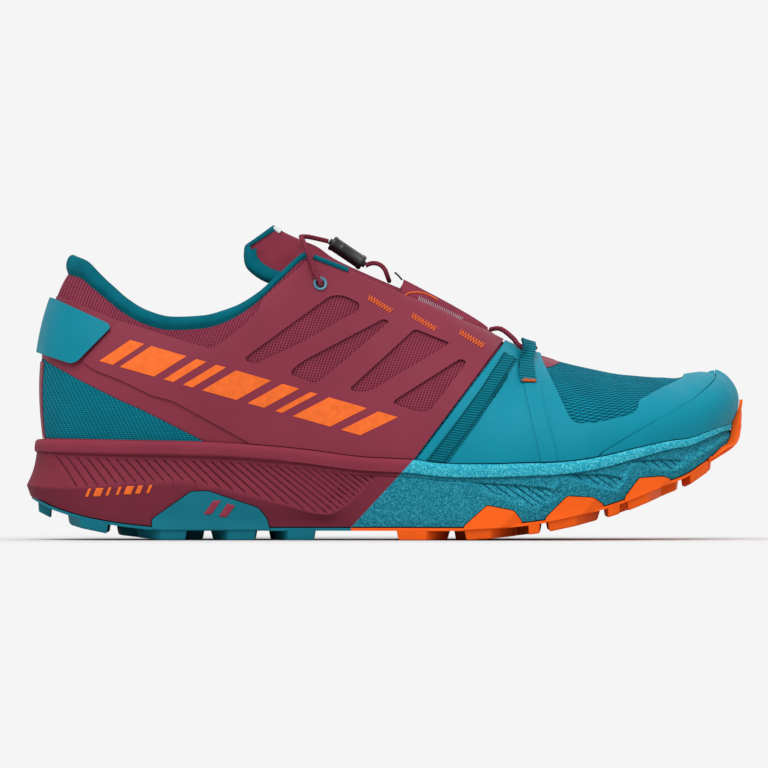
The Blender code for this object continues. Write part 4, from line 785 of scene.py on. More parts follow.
class Nodes:
    """Short words for building a material's node tree."""

    def __init__(self, name, roughness, specular):
        self.made = bpy.data.materials.new(name)
        self.made.use_nodes = True
        self.tree = self.made.node_tree
        self.shader = self.tree.nodes["Principled BSDF"]
        self.put(self.shader.inputs["Roughness"], roughness)
        self.put(self.shader.inputs["Specular IOR Level"], specular)

    def add(self, kind, **settings):
        node = self.tree.nodes.new("ShaderNode" + kind)
        for word, value in settings.items():
            setattr(node, word, value)
        return node

    def put(self, target, value):
        """Sets an input to a number or a colour, or links it."""
        if isinstance(value, bpy.types.NodeSocket):
            self.tree.links.new(value, target)
        else:
            target.default_value = (*value, 1) if isinstance(value, tuple) else value

    def math(self, operation, first, second=0.0, third=0.0, clamp=False):
        node = self.add("Math", operation=operation, use_clamp=clamp)
        for socket, value in zip(node.inputs, (first, second, third)):
            self.put(socket, value)
        return node.outputs[0]

    def wave(self, value, pitch):
        return self.math("SINE", self.math("MULTIPLY", value, TURN / pitch))

    def place(self, kind="Object"):
        return self.add("TexCoord").outputs[kind]

    def split(self, vector):
        node = self.add("SeparateXYZ")
        self.put(node.inputs[0], vector)
        return node.outputs

    def noise(self, scale, detail=3.0):
        node = self.add("TexNoise")
        for word, value in (("Scale", scale), ("Detail", detail), ("Vector", self.place())):
            self.put(node.inputs[word], value)
        return node.outputs["Fac"]

    def cells(self, scale):
        """A random level for each small cell."""
        node = self.add("TexVoronoi")
        self.put(node.inputs["Scale"], scale)
        self.put(node.inputs["Vector"], self.place())
        return self.split(node.outputs["Color"])[0]

    def ramp(self, value, *stops):
        node = self.add("ValToRGB")
        elements = node.color_ramp.elements
        while len(elements) < len(stops):
            elements.new(0.5)
        for element, (at, colour) in zip(elements, stops):
            element.position = at
            element.color = (*(colour if isinstance(colour, tuple) else (colour,) * 3), 1)
        self.put(node.inputs[0], value)
        return node.outputs[0]

    def drift(self, colour, value, dark, light):
        """A colour that drifts between two shares of itself."""
        return self.ramp(value, (0.3, scaled(colour, dark)), (0.7, scaled(colour, light)))

    def blend(self, share, first, second, kind="MIX"):
        node = self.add("Mix", data_type="RGBA", blend_type=kind)
        for socket, value in zip((node.inputs[0], node.inputs[6], node.inputs[7]), (share, first, second)):
            self.put(socket, value)
        return node.outputs[2]

    def bump(self, height, distance, strength):
        node = self.add("Bump")
        for word, value in (("Strength", strength), ("Distance", distance), ("Height", height)):
            self.put(node.inputs[word], value)
        normal = self.shader.inputs["Normal"]
        if normal.is_linked:
            self.put(node.inputs["Normal"], normal.links[0].from_socket)
        self.put(normal, node.outputs[0])

    def colour(self, value):
        self.put(self.shader.inputs["Base Color"], value)


def srgb(*levels):
    """Linear colour from eight-bit screen levels."""
    shares = [level / 255 for level in levels]
    return tuple(v / 12.92 if v <= 0.04045 else ((v + 0.055) / 1.055) ** 2.4 for v in shares)


MAROON, MAROON_DARK, MAROON_MESH = srgb(118, 44, 60), srgb(76, 19, 33), srgb(127, 52, 71)
TEAL, TEAL_DARK, TEAL_MESH = srgb(7, 121, 141), srgb(3, 88, 102), srgb(8, 113, 133)
TEAL_HOLE, TAB_TEAL = srgb(1, 58, 76), srgb(6, 112, 130)
ORANGE, ORANGE_RUBBER, TEAL_RUBBER = srgb(216, 99, 42), srgb(228, 89, 15), srgb(8, 102, 118)
BLACK, GREY, WHITE = srgb(14, 14, 15), srgb(168, 160, 168), srgb(195, 195, 198)
WEBBING_TEAL = srgb(8, 104, 120)
WEBBING_PITCH = 0.00098
DULL = 0.05  # specular level of cloth, film and foam
HOLE_FILL = 0.56  # how much of a knit's pitch its holes take
# Knits: pitch along and up in millimetres, how narrow the holes are, and how far their rows lean
BODY_PATTERN, HEEL_PATTERN = (1.18, 1.0, 1.7, 0.25), (1.5, 0.75, 0.7, 1.5)


def scaled(colour, share):
    return tuple(level * share for level in colour)


def split_line(n, points):
    """1 in front of a straight side-view line, given in pixels, 0 behind it."""
    (x0, z0), (x1, z1) = pixels(points)
    x, _, z = n.split(n.place())
    along = n.math("MULTIPLY", n.math("SUBTRACT", z, z0), (x1 - x0) / (z1 - z0))
    ahead = n.math("SUBTRACT", n.math("SUBTRACT", x, x0), along)
    return n.math("MULTIPLY_ADD", ahead, 5000.0, 0.5, clamp=True)


def holes(n, u, v, pitch_x, pitch_y, narrow, lean):
    """0 in the staggered holes of a knit, 1 on its yarn."""
    u = n.math("MULTIPLY_ADD", v, lean, u)
    rows = n.math("DIVIDE", v, pitch_y)
    shift = n.math("MULTIPLY", n.math("MODULO", n.math("ABSOLUTE", n.math("FLOOR", rows)), 2.0), 0.5)
    across_it = n.math("SUBTRACT", n.math("FRACT", n.math("ADD", n.math("DIVIDE", u, pitch_x), shift)), 0.5)
    up = n.math("SUBTRACT", n.math("FRACT", rows), 0.5)
    up = n.math("MULTIPLY_ADD", across_it, -0.35, up)
    wide = n.math("POWER", n.math("MULTIPLY", across_it, narrow), 2.0)
    reach = n.math("SQRT", n.math("ADD", wide, n.math("POWER", up, 2.0)))
    return n.ramp(reach, (HOLE_FILL * 0.42, 0.0), (HOLE_FILL * 0.78, 1.0))


def waves(n, u, v):
    """0 in the dark gaps between the slanted, wavy rows of the vamp's mesh, 1 on its yarn."""
    swing = n.math("SINE", n.math("MULTIPLY_ADD", v, 0.9, n.math("MULTIPLY", u, TURN / 2.3)))
    rows = n.math("MULTIPLY_ADD", swing, 0.30, n.math("MULTIPLY_ADD", u, 0.42, v))
    gap = n.math("ABSOLUTE", n.math("SUBTRACT", n.math("FRACT", n.math("DIVIDE", rows, 1.5)), 0.5))
    return n.ramp(gap, (0.10, 0.0), (0.26, 1.0))


def knit(name, thread, hole, pattern, front=None):
    """Knitted mesh: rows of small holes, every second row shifted by half a pitch."""
    n = Nodes(name, 0.9, DULL)
    u, v, _ = n.split(n.place("UV"))
    depth = holes(n, u, v, *pattern)
    cloud = n.noise(90.0, 2.0)
    light = n.drift(thread, cloud, 0.90, 1.08)
    if front:
        line, front_thread, front_hole = front
        where = split_line(n, line)
        light = n.blend(where, light, n.drift(front_thread, cloud, 0.86, 1.12))
        hole = n.blend(where, hole, front_hole)
        depth = n.blend(where, depth, waves(n, u, v))
    n.colour(n.blend(depth, hole, light))
    n.bump(depth, 0.0004, 0.9)
    n.bump(n.wave(n.math("ADD", u, v), 0.28), 0.00004, 0.5)
    return n.made


def film_finish(name, colour):
    """Smooth welded film with the knit below just showing, and a soft gloss."""
    n = Nodes(name, 0.5, 0.08)
    n.colour(n.ramp(n.noise(38.0), (0.25, scaled(colour, 0.93)), (0.75, scaled(colour, 1.05))))
    n.put(n.shader.inputs["Roughness"], n.ramp(n.noise(160.0), (0.3, 0.46), (0.7, 0.58)))
    u, v, _ = n.split(n.place("UV"))
    n.bump(n.math("MULTIPLY", n.wave(u, 1.1), n.wave(v, 0.9)), 0.00003, 0.5)
    n.bump(n.noise(900.0, 2.0), 0.00005, 0.4)
    return n.made


def foam_finish():
    """The midsole's foam: plain maroon behind the split, speckled teal in front, with painted shade in its
    grooves, under the flange and on faces that turn down, and a flange painted lighter.
    """
    n = Nodes("midsole_foam", 0.7, DULL)
    u, v, _ = n.split(n.place("UV"))
    flange = n.math("MULTIPLY", v, -1.0, clamp=True)
    groove = n.math("ABSOLUTE", n.math("SUBTRACT", n.math("FRACT", u), 0.5))
    groove = n.ramp(groove, (0.035, 1.0), (0.085, 0.0))
    groove = n.math("MULTIPLY", groove, n.ramp(v, (0.35, 0.0), (0.65, 1.0)))
    cloud = n.noise(60.0)
    # Painted shadow of the flange: forward of the heel, the ribbed band below the flange is painted darker
    forward = n.ramp(n.split(n.place())[0], (x_at(0.17) + 0.5, 0.0), (x_at(0.30) + 0.5, 1.0))
    flange_shadow = n.math("MULTIPLY", forward, n.ramp(v, (0.3, 0.0), (0.7, 1.0)))
    back = n.blend(flange_shadow, n.drift(MAROON, cloud, 0.78, 0.88), scaled(MAROON, 0.66))
    # Painted light: the flange faces up and is painted lighter than the wall below it
    back = n.blend(flange, back, n.drift(MAROON, cloud, 0.94, 1.08))
    speckle = n.cells(2600.0)
    # The teal foam's own speckle, painted darker on the wall and lighter on the flange: painted light and
    # shade
    low = n.ramp(speckle, (0.10, srgb(13, 90, 111)), (0.55, srgb(26, 115, 134)), (0.95, srgb(50, 144, 160)))
    high = n.ramp(speckle, (0.10, srgb(16, 124, 148)), (0.55, srgb(32, 148, 168)), (0.95, srgb(84, 178, 190)))
    ahead = split_line(n, SPLIT_LINE)
    colour = n.blend(ahead, back, n.blend(flange, low, high))
    # Painted light and shade by which way each face turns: faces turned up are painted lighter, faces turned
    # down darker
    facing = n.split(n.add("NewGeometry").outputs["Normal"])[2]
    shade = n.ramp(n.math("MULTIPLY_ADD", facing, 0.5, 0.5), (0.2, 0.68), (0.5, 0.94), (0.72, 1.06))
    colour = n.blend(1.0, colour, shade, "MULTIPLY")
    # Painted shade in the grooves: the groove mask darkens the foam towards near black maroon behind the
    # split and dark teal in front
    dark = n.blend(ahead, scaled(MAROON, 0.25), srgb(6, 66, 88))
    n.colour(n.blend(n.math("MULTIPLY", groove, 0.72), colour, dark))
    n.bump(n.math("MULTIPLY", groove, -1.0), 0.00035, 0.6)
    n.bump(n.noise(1500.0, 2.0), 0.00006, 0.5)
    return n.made


def rubber_finish(name, colour):
    n = Nodes(name, 0.6, 0.12)
    n.colour(n.drift(colour, n.noise(70.0), 0.9, 1.04))
    n.bump(n.noise(1300.0, 2.0), 0.00006, 0.5)
    return n.made


def padding_finish(name, colour):
    """Fine stretch knit over padding."""
    n = Nodes(name, 0.9, DULL)
    u, v, _ = n.split(n.place("UV"))
    n.colour(n.drift(colour, n.noise(120.0), 0.85, 1.12))
    n.bump(n.math("MULTIPLY", n.wave(u, 0.55), n.wave(v, 0.45)), 0.00008, 0.6)
    return n.made


def braid_finish(name, colour, pitch=1.5):
    """Braided cord from crossing strands, along and round in millimetres."""
    n = Nodes(name, 0.85, DULL)
    u, v, _ = n.split(n.place("UV"))
    strands = [n.wave(n.math(turn, u, v), pitch) for turn in ("ADD", "SUBTRACT")]
    relief = n.math("MAXIMUM", *strands)
    # Painted shade in the hollows between the strands, painted light on their crests
    n.colour(n.ramp(relief, (0.1, scaled(colour, 0.55)), (0.9, scaled(colour, 1.15))))
    n.bump(relief, 0.00012, 0.7)
    return n.made


def plastic_finish(name, colour, roughness=0.38):
    n = Nodes(name, roughness, 0.5)
    n.colour(n.drift(colour, n.noise(200.0), 0.85, 1.15))
    n.bump(n.noise(1600.0, 2.0), 0.00004, 0.4)
    return n.made


def rib_finish(name, colour, pitch):
    """Woven tape with level ribs, with painted shade between them and painted light along their crests."""
    n = Nodes(name, 0.85, DULL)
    x, _, z = n.split(n.place())
    rib = n.wave(n.math("MULTIPLY_ADD", x, 0.12, z), pitch)
    # Painted shade between the ribs, painted light along their crests
    n.colour(n.ramp(rib, (0.06, scaled(colour, 0.5)), (0.38, colour), (0.95, scaled(colour, 1.12))))
    n.bump(rib, 0.00016, 0.8)
    return n.made


def grain_finish(name, colour, scale=2500.0, depth=0.00006, specular=DULL):
    """Small things: thread, print, painted marks and labels."""
    n = Nodes(name, 0.7, specular)
    grain = n.noise(scale, 1.0)
    n.colour(n.drift(colour, grain, 0.9, 1.06))
    n.bump(grain, depth, 0.4)
    return n.made


def show(made, *nodes, slot):
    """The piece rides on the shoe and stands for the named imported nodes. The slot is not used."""
    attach(made, "root")
    if nodes:
        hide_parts(*nodes)
    return made


def build_upper(finish):
    rows, sides, toe = ring(UPPER_SPACING)
    turns = np.linspace(0, 1, UPPER_STEPS + 1)[1:] * math.pi / 2
    outer = np.concatenate([cup_points(rows, sides, 0.0), upper_points(rows, sides, turns)], axis=1)
    inner = outer - normals_of(outer, toe) * WALL
    count = len(rows)
    zipped = {c for c in range(count) if c <= toe or c >= count - toe}
    made = shell("upper_body", inner, outer, finish, closed=True, zipped=zipped)
    return show(made, "upper", slot="maroon_mesh")


def column_at(rows, row):
    """The column of the lateral half that lies nearest to a section row."""
    half = len(rows) // 2 + 1
    return int(np.argmin(np.abs(rows[:half] - row)))


def film(name, low, high, outlines, finish, reach, windows=(), nodes=(), slot="maroon_film"):
    """A film over the upper between two stand-offs, trimmed to side-view outlines.

    reach: ("front", row), ("rear", row) or (side, row, row), the columns that the film covers."""
    rows, sides, toe = ring(UPPER_SPACING)
    full = upper_points(rows, sides, np.linspace(0.012, math.pi / 2, UPPER_STEPS + 1))
    normals = normals_of(full, toe)
    count = len(rows)
    if reach[0] == "front":
        last = column_at(rows, reach[1])
        picked = [c % count for c in range(-last, last + 1)]
    elif reach[0] == "rear":
        first = column_at(rows, reach[1])
        picked = list(range(first, count - first + 1))
    else:
        first, last = column_at(rows, reach[1]), column_at(rows, reach[2])
        columns = range(first, last + 1) if reach[0] == LATERAL else range(-last, -first + 1)
        picked = [c % count for c in columns]
    zipped = {k for k, c in enumerate(picked) if c <= toe or c >= count - toe}
    made = shell(name, (full + normals * low)[picked], (full + normals * high)[picked], finish, zipped=zipped)
    combine(made, prisms(outlines), "INTERSECT")
    for window in windows:
        combine(made, prisms([window]), "DIFFERENCE")
    sharpen(made)
    return show(made, *nodes, slot=slot)


def across(rows, edge, height, shares):
    """Points from the sole's edge in towards its centre line, at heights read along the length."""
    at = section(rows)
    share = (at["base_u"] - SECTIONS[-1][0]) / (SECTIONS[0][0] - SECTIONS[-1][0])
    axis = np.stack([x_at(AXIS_HEEL + AXIS_LENGTH * share), BALL_WIDTH * at["base_mid"]], -1)
    found = []
    for share in shares:
        plan = edge + (axis - edge) * share
        found.append(np.column_stack([plan, height(u_of(plan[:, 0]))]))
    return np.stack(found, 1)


def wall_profile(rows, sides):
    """How far out and how high the midsole's side is, at five lines from its foot to the flange's edge."""
    u = u_of(base_point(rows, sides)[:, 0])
    line, low = sole_line(u), rocker(u)
    flange = FLANGE_HEIGHT * curve(FLANGE_SHARE, u)
    lines = (FOOT_OUT, CREST_OUT, GROOVE_OUT, FLANGE_OUT, FLANGE_OUT)
    reach = [SOLE_FLARE * curve(pairs, u) for pairs in lines]
    height = [
        low + 0.08 * (line - low), crest_height(u), line - flange - 0.06 * (line - low), line - flange,
        line - 0.72 * flange,
    ]
    return np.stack(reach, 1), np.stack(height, 1)


def grooves(u, z, low, high):
    """Phase and mask of the rear foam's slanted ribs at side-view places between the crest and the flange."""
    start = u
    for _ in range(6):
        start = u - (high - z) * curve(RIB_LEAN, start) / SHOE_LENGTH
    inside = np.clip((start - RIBS_START) * SHOE_LENGTH / RIB_FADE, 0, 1)
    inside *= np.clip((RIBS_END - start) * SHOE_LENGTH / RIB_FADE, 0, 1)
    inside *= np.clip((z - low) / 0.0008, 0, 1) * np.clip((high - z) / 0.0006, 0, 1)
    return (start - RIBS_START) * SHOE_LENGTH / RIBS_APART, inside


def depth_inside(outline, x, z):
    """How far side-view places lie inside an outline given clockwise as seen, negative outside it."""
    corners = np.asarray(outline, float)
    found = np.full(x.shape, 1.0)
    for a, b in zip(corners, np.roll(corners, -1, axis=0)):
        side = ((b[0] - a[0]) * (z - a[1]) - (b[1] - a[1]) * (x - a[0])) / np.hypot(*(b - a))
        found = np.minimum(found, -side)
    return found


def build_midsole(finish):
    rows, sides, _ = ring(MIDSOLE_SPACING)
    base, normal = base_point(rows, sides), outward(rows, sides)
    u = u_of(base[:, 0])
    line = sole_line(u)
    reach, height = wall_profile(rows, sides)
    under = across(rows, foot_line(rows, sides), rocker, (1.0, 0.5, 0.0))
    # The side wall from its foot to the flange's edge, by share of each of its four stretches
    stops = [start + np.linspace(0, 1, count)[:-1] for start, count in enumerate((8, 31, 4))]
    stops = np.concatenate([*stops, 3 + np.linspace(0, 1, 3)])
    k = np.minimum(stops.astype(int), 3)
    t = stops - k
    out = reach[:, k] * (1 - t) + reach[:, k + 1] * t
    z = height[:, k] * (1 - t) + height[:, k + 1] * t
    swell = -0.09 * np.sin(math.pi * np.clip(stops - 1, 0, 1))
    out = out + SOLE_FLARE * swell
    out[:, (stops > 2) & (stops < 3)] -= CREASE
    places = np.broadcast_to(u[:, None], z.shape)
    top, crest = height[:, 2][:, None] + 0 * z, height[:, 1][:, None] + 0 * z
    phase, mask = grooves(places, z, crest, top)
    x = base[:, 0][:, None] + normal[:, 0][:, None] * out
    for valley in VALLEYS:
        deep = depth_inside(pixels(valley), x, z)
        out = out - VALLEY_DEPTH * np.clip(deep / VALLEY_SLOPE, 0, 1)
        phase = np.where(deep > 0, (x * HATCH_SLOPE + z) / HATCH_APART, phase)
        mask = np.maximum(mask, np.clip(deep / 0.0005 - 0.6, 0, 1))
    share = np.mod(phase, 1.0)
    notch = np.clip(1 - np.abs(share - 0.5) / 0.15, 0, 1) ** 0.8
    shingle = np.mod(share + 0.5, 1.0)
    out = out - RIB_DEPTH * mask * (0.55 * notch + 0.28 * shingle)
    # Texture coordinates: the grooves' phase, and their mask, less 1 on the flange; the foam's finish paints
    # shade into the grooves and light onto the flange
    flat = np.stack([phase, mask - 1.0 * (stops >= 2.99)], -1)
    wall = np.concatenate([(base[:, None] + normal[:, None] * out[..., None]), z[..., None]], -1)
    edge, lip_edge = SOLE_FLARE * curve(FLANGE_OUT, u), SOLE_FLARE * 0.16
    flange = FLANGE_HEIGHT * curve(FLANGE_SHARE, u)
    lip = []
    for share, rise in ((0.97, 0.35), (0.86, 0.75), (0.55, 0.96), (0.0, 1.0)):
        plan = base + normal * (edge * share + lip_edge * (1 - share))[:, None]
        lip.append(np.column_stack([plan, line - 0.72 * flange * (1 - rise) - LIP_DROP]))
    inner = cup_points(rows, sides, GAP)[:, ::-1]
    inner[:, -1, 2] -= GAP
    bed = across(rows, inner[:, -1, :2], footbed, (0.5, 1.0))
    loops = np.concatenate([under, wall, np.stack(lip, 1), inner, bed], axis=1)
    plain = np.zeros((len(rows), 1, 2))
    above = plain - (0, 1)
    flat = [np.repeat(plain, 3, 1), flat, np.repeat(above, 4, 1), np.repeat(plain, 5, 1)]
    made = sole_solid("midsole_foam", loops, finish, np.concatenate(flat, axis=1))
    for block in (HEEL_BLOCK, *FOREFOOT_BLOCKS):
        combine(made, block_cutter(block), "DIFFERENCE")
    sharpen(made, 50)
    return show(made, "midsole", slot="maroon_foam")


def block_cutter(block):
    """The recess that a lug block of the outsole sits in, a little larger than the block."""
    made = skin("recess", -BLOCK_DEPTH - GAP, SOLE_FLARE * 0.56, None)
    return combine(made, prisms([grown(rounded(block_outline(block), BLOCK_CORNER), GAP)]), "INTERSECT")


def block_outline(block):
    return [(x_at(u), rocker(u) + (sole_line(u) - rocker(u)) * h) for u, h in block]


def grown(outline, distance):
    """A polygon with each side moved out by a distance."""
    points = [Vector(point) for point in outline]
    area = sum(a.x * b.y - b.x * a.y for a, b in zip(points, points[1:] + points[:1]))
    turn = 1 if area > 0 else -1
    moved = []
    for before, here, after in zip(points[-1:] + points[:-1], points, points[1:] + points[:1]):
        first, second = (here - before).normalized(), (after - here).normalized()
        a, b = Vector((first.y, -first.x)) * turn, Vector((second.y, -second.x)) * turn
        moved.append(here + (a + b) * (distance / max(1 + a.dot(b), 0.4)))
    return moved


def skin(name, low_lift, high_lift, finish):
    """A wall along the midsole's side, from the outsole up to the flange."""
    rows, sides, _ = ring(0.004)
    base, normal = base_point(rows, sides), outward(rows, sides)
    u = u_of(base[:, 0])
    reach, height = wall_profile(rows, sides)
    foot_u = u_of(foot_line(rows, sides)[:, 0])
    heights = [rocker(foot_u) - GLUE_GAP - OUTSOLE_BASE * 0.6, *height[:, :3].T]
    grids = []
    for lift in (low_lift, high_lift):
        outs = [SOLE_FLARE * curve(FOOT_OUT, u) + lift, *(reach[:, :3].T + lift)]
        lines = [np.column_stack([base + normal * o[:, None], h]) for o, h in zip(outs, heights)]
        grids.append(np.stack(lines, 1))
    return shell(name, *grids, finish, closed=True)


def build_insole(finish):
    rows, sides, _ = ring(0.003)
    edge = base_point(rows, sides) - outward(rows, sides) * (FEATHER_TUCK + WALL + INSOLE_CLEARANCE)

    def seat(u):
        return footbed(u) + GAP * 2 + INSOLE * 3.2 * np.maximum(0.0, u - 0.86)

    low = across(rows, edge, seat, (1.0, 0.5, 0.0))
    high = across(rows, edge, lambda u: seat(u) + INSOLE, (0.0, 0.02, 0.15, 0.4, 0.7, 1.0))
    high[:, 0, 2] -= INSOLE * 0.35
    loops = np.concatenate([low, high], axis=1)
    made = sharpen(sole_solid("insole_board", loops, finish, loops[..., :2] * 1000), 50)
    return show(made, "insole", slot="grey_foam")


def top_edge(rows, sides):
    """The middle of the upper's top edge and its normals pointing away from the foot."""
    step = 0.03
    turn = [math.pi / 2]
    here = upper_points(rows, sides, turn)[:, 0]
    along = upper_points(rows + step, sides, turn)[:, 0] - upper_points(rows - step, sides, turn)[:, 0]
    normal = np.column_stack([along[:, 1] * sides, -along[:, 0] * sides, 0 * sides])
    normal[rows > HEEL_ROW - 0.05] = (-1, 0, 0)
    normal = unit(normal)
    return here - normal * WALL / 2, normal


def build_rim(finish):
    half = np.linspace(RIM_START, HEEL_ROW, 90)
    rows = np.concatenate([half, half[-2::-1]])
    sides = np.concatenate([np.full(len(half), LATERAL), np.full(len(half) - 1, MEDIAL)])
    middle, normal = top_edge(rows, sides)
    share = (rows - RIM_START) / (HEEL_ROW - RIM_START)
    thin = np.interp(share, [0.0, 0.06, 0.30], [0.5, 0.66, 1.0])
    rise = (RIM_HEEL_HEIGHT - RIM_SIDE_HEIGHT) * np.maximum(0, (share - 0.35) / 0.65) ** 1.5
    tall = thin * (RIM_SIDE_HEIGHT + rise)
    # A round pad over the edge, and a slot under it that the upper's wall stands in
    turns = np.linspace(-0.22, math.pi + 0.22, 19)
    slot = WALL / 2 + GAP / 2
    lips = (-slot - 0.0006, -slot, -slot, slot, slot, slot + 0.0006)
    out = np.concatenate([RIM_HALF_WIDTH * np.cos(turns), lips])
    up = np.concatenate([0.36 + 0.64 * np.sin(turns), np.zeros(6)])
    fall = np.concatenate([np.zeros(len(turns)), (-0.0026, -0.0024, GAP, GAP, -0.0011, -0.0013)])
    wide = out[None, :] * np.where(np.abs(out) > slot, 0.35 + 0.65 * thin[:, None], 1)
    high = GAP + tall[:, None] * up[None, :] + fall[None, :] * thin[:, None]
    loops = middle[:, None] + normal[:, None] * wide[..., None] + np.array([0, 0, 1.0]) * high[..., None]
    made = tube_mesh("collar_padding", loops, finish, coordinates=flat_map(middle, np.arange(len(out)) * 0.6))
    sharpen(made, 60)
    return show(made, "collar_rim", slot="teal_padding")


def tongue_stations():
    """The tongue's outer face by station: middle point, edge point and half width."""
    found = []
    for row, stand, narrow in TONGUE_IN_THROAT:
        at = section(np.array([float(row)]))
        ridge = upper_points(np.array([float(row)]), np.array([-1.0]), [math.pi / 2])[0, 0]
        z = ridge[2] + INSTEP_HEIGHT * stand
        half = TONGUE_NOSE_HALF
        if row > THROAT_ROW:
            half = max(at["top_half"][0] - narrow, half)
        drop = INSTEP_HEIGHT * max(stand, 0) + TONGUE_EDGE_DROP
        found.append(((ridge[0], 0, z), (ridge[0], 0, z - drop), BALL_WIDTH * half))
    for u, high, edge_u, low, half in TONGUE_ABOVE:
        middle, edge = ((x_at(a), 0, SOLE_LINE + INSTEP_HEIGHT * h) for a, h in ((u, high), (edge_u, low)))
        found.append((middle, edge, BALL_WIDTH * half))
    return found


def tongue_face(stations, shares):
    """Points of the tongue's outer face for fractional stations by shares across."""
    middle, edge, half = (np.array(part) for part in zip(*tongue_stations()))
    last = len(half) - 1
    fine = np.linspace(0, last, 12 * last + 1)

    def read(table):
        return np.stack([np.interp(stations, fine, column) for column in smooth(table, 12).T], -1)

    middle, edge, wide = read(middle), read(edge), read(half[:, None])
    # The upper corners are rounded off
    corner = 1 - 0.15 * np.clip((stations - last + 0.8) / 0.8, 0, 1) ** 2
    shares = np.asarray(shares, float)[None, :] * corner[:, None]
    bend = np.abs(shares)[..., None] ** 2.2
    points = middle[:, None] * (1 - bend) + edge[:, None] * bend
    points[..., 1] += wide * shares
    return points


def tongue_normals(points):
    normals = unit(np.cross(np.gradient(points, axis=0), np.gradient(points, axis=1)))
    return -normals if normals[len(points) // 2, points.shape[1] // 2, 2] < 0 else normals


def tongue_thickness(stations, shares):
    last = len(tongue_stations()) - 1
    full = TONGUE_FRONT_THICKNESS + (TONGUE_TOP_THICKNESS - TONGUE_FRONT_THICKNESS) * stations / last
    return full[:, None] * (1 - 0.45 * np.abs(np.asarray(shares))[None, :] ** 4)


def build_tongue(finish, binding):
    last = len(tongue_stations()) - 1
    stations = np.linspace(0, last, 110)
    shares = np.linspace(-1, 1, 41)
    face = tongue_face(stations, shares)
    normals = tongue_normals(face)
    thick = tongue_thickness(stations, shares)
    puff = TONGUE_PUFF * np.cos(shares * math.pi / 2)[None, :] * np.clip(stations / 4, 0, 1)[:, None]
    outer = face + normals * (puff - 0.0002)[..., None]
    inner = face - normals * thick[..., None]
    flat = np.stack(np.broadcast_arrays(stations[:, None] * 12.0, shares[None, :] * 18.0), -1)
    loops = np.concatenate([inner, outer[:, ::-1]], axis=1)
    made = tube_mesh("tongue_pad", loops, finish, coordinates=np.concatenate([flat, flat[:, ::-1]], axis=1))
    tidy(made)
    sharpen(made, 60)
    show(made, "tongue", slot="maroon_mesh")
    return build_binding(binding, last)


def build_binding(finish, last):
    """A band of cloth folded over the tongue's upper edges, wide at the sides and narrow at the top."""
    side_up = np.linspace(8.6, last, 44)
    top = np.linspace(-1, 1, 41)[1:-1]
    route = [(s, -1.0) for s in side_up] + [(last, v) for v in top] + [(s, 1.0) for s in side_up[::-1]]
    stations, shares = np.array(route).T
    step = 0.03

    def read(stations, shares):
        return np.array([tongue_face(np.array([s]), [v])[0, 0] for s, v in zip(stations, shares)])

    face = read(stations, shares)
    inward = read(stations, shares * (1 - step)) - face
    back = read(stations - step * 2, shares) - face
    inward[len(side_up) : -len(side_up)] = 0
    lengths = [np.maximum(np.linalg.norm(v, axis=1, keepdims=True), 1e-9) for v in (inward, back)]
    corner = np.clip((stations - (last - 0.35)) / 0.35, 0, 1)[:, None]
    toward = unit(inward / lengths[0] * (1 - corner) + back / lengths[1] * corner)
    normal = unit(np.cross(np.gradient(face, axis=0), toward))
    normal[normal[:, 2] < 0] *= -1
    wide = (BINDING_SIDE * (1 - corner) + BINDING_TOP * corner)[:, 0]
    thick = tongue_thickness(stations, [1.0])[:, 0]
    # Share of the band's width, lift off the tongue's face, share of the tongue's thickness
    profile = (
        (1.0, 0.0002, 0), (1.0, 0.0006, 0), (0.5, 0.0010, 0), (0.08, 0.0009, 0), (-0.10, 0.0003, 0),
        (-0.17, 0.0, -0.5), (-0.10, -0.0004, -1), (0.08, -0.0009, -1), (0.5, -0.0010, -1),
        (1.0, -0.0006, -1), (1.0, 0.0, -1), (0.1, 0.0, -0.8), (0.02, 0.0, -0.5), (0.1, -0.0001, -0.2),
    )
    loops = np.stack([
        face + toward * (wide * across_share)[:, None] + normal * (lift + thick * depth)[:, None]
        for across_share, lift, depth in profile
    ], 1)
    flat = flat_map(face, np.arange(len(profile)) * 1.5)
    made = sharpen(tidy(tube_mesh("tongue_binding", loops, finish, coordinates=flat)), 70)
    return show(made, slot="teal_padding")


def build_pocket(finish):
    first, last = POCKET_STATIONS
    stations = np.linspace(first, last, 46)
    shares = np.linspace(-POCKET_SPREAD, POCKET_SPREAD, 45)
    face = tongue_face(stations, shares)
    normals = tongue_normals(face)
    rise = ((stations - first) / (last - first))[:, None]
    crown = (1 - np.abs(shares / POCKET_SPREAD) ** 3)[None, :]
    high = GAP + POCKET_FILM + POCKET_REAR * rise * crown
    inner = face + normals * GAP
    outer = face + normals * high[..., None]
    made = shell("pocket_cover", inner, outer, finish)
    sharpen(made, 55)
    return show(made, "lace_pocket", slot="maroon_film")


def surface_at(row, side, angle, lift):
    """A point over the upper's outer face by section row and angle, with its normal."""
    step = 0.02
    rows = np.array([row, max(row - step, 0), min(row + step, HEEL_ROW), row, row], float)
    angles = np.array([angle, angle, angle, angle - step, min(angle + step, math.pi / 2)])
    points = upper_points(rows, np.full(5, side), angles[:, None])[:, 0]
    normal = np.cross(points[4] - points[3], points[2] - points[1])
    # It points outward, or up where it lies flat
    if (normal[1] * side if abs(normal[1]) > abs(normal[2]) else normal[2]) < 0:
        normal = -normal
    normal /= np.linalg.norm(normal)
    return points[0] + normal * lift, normal


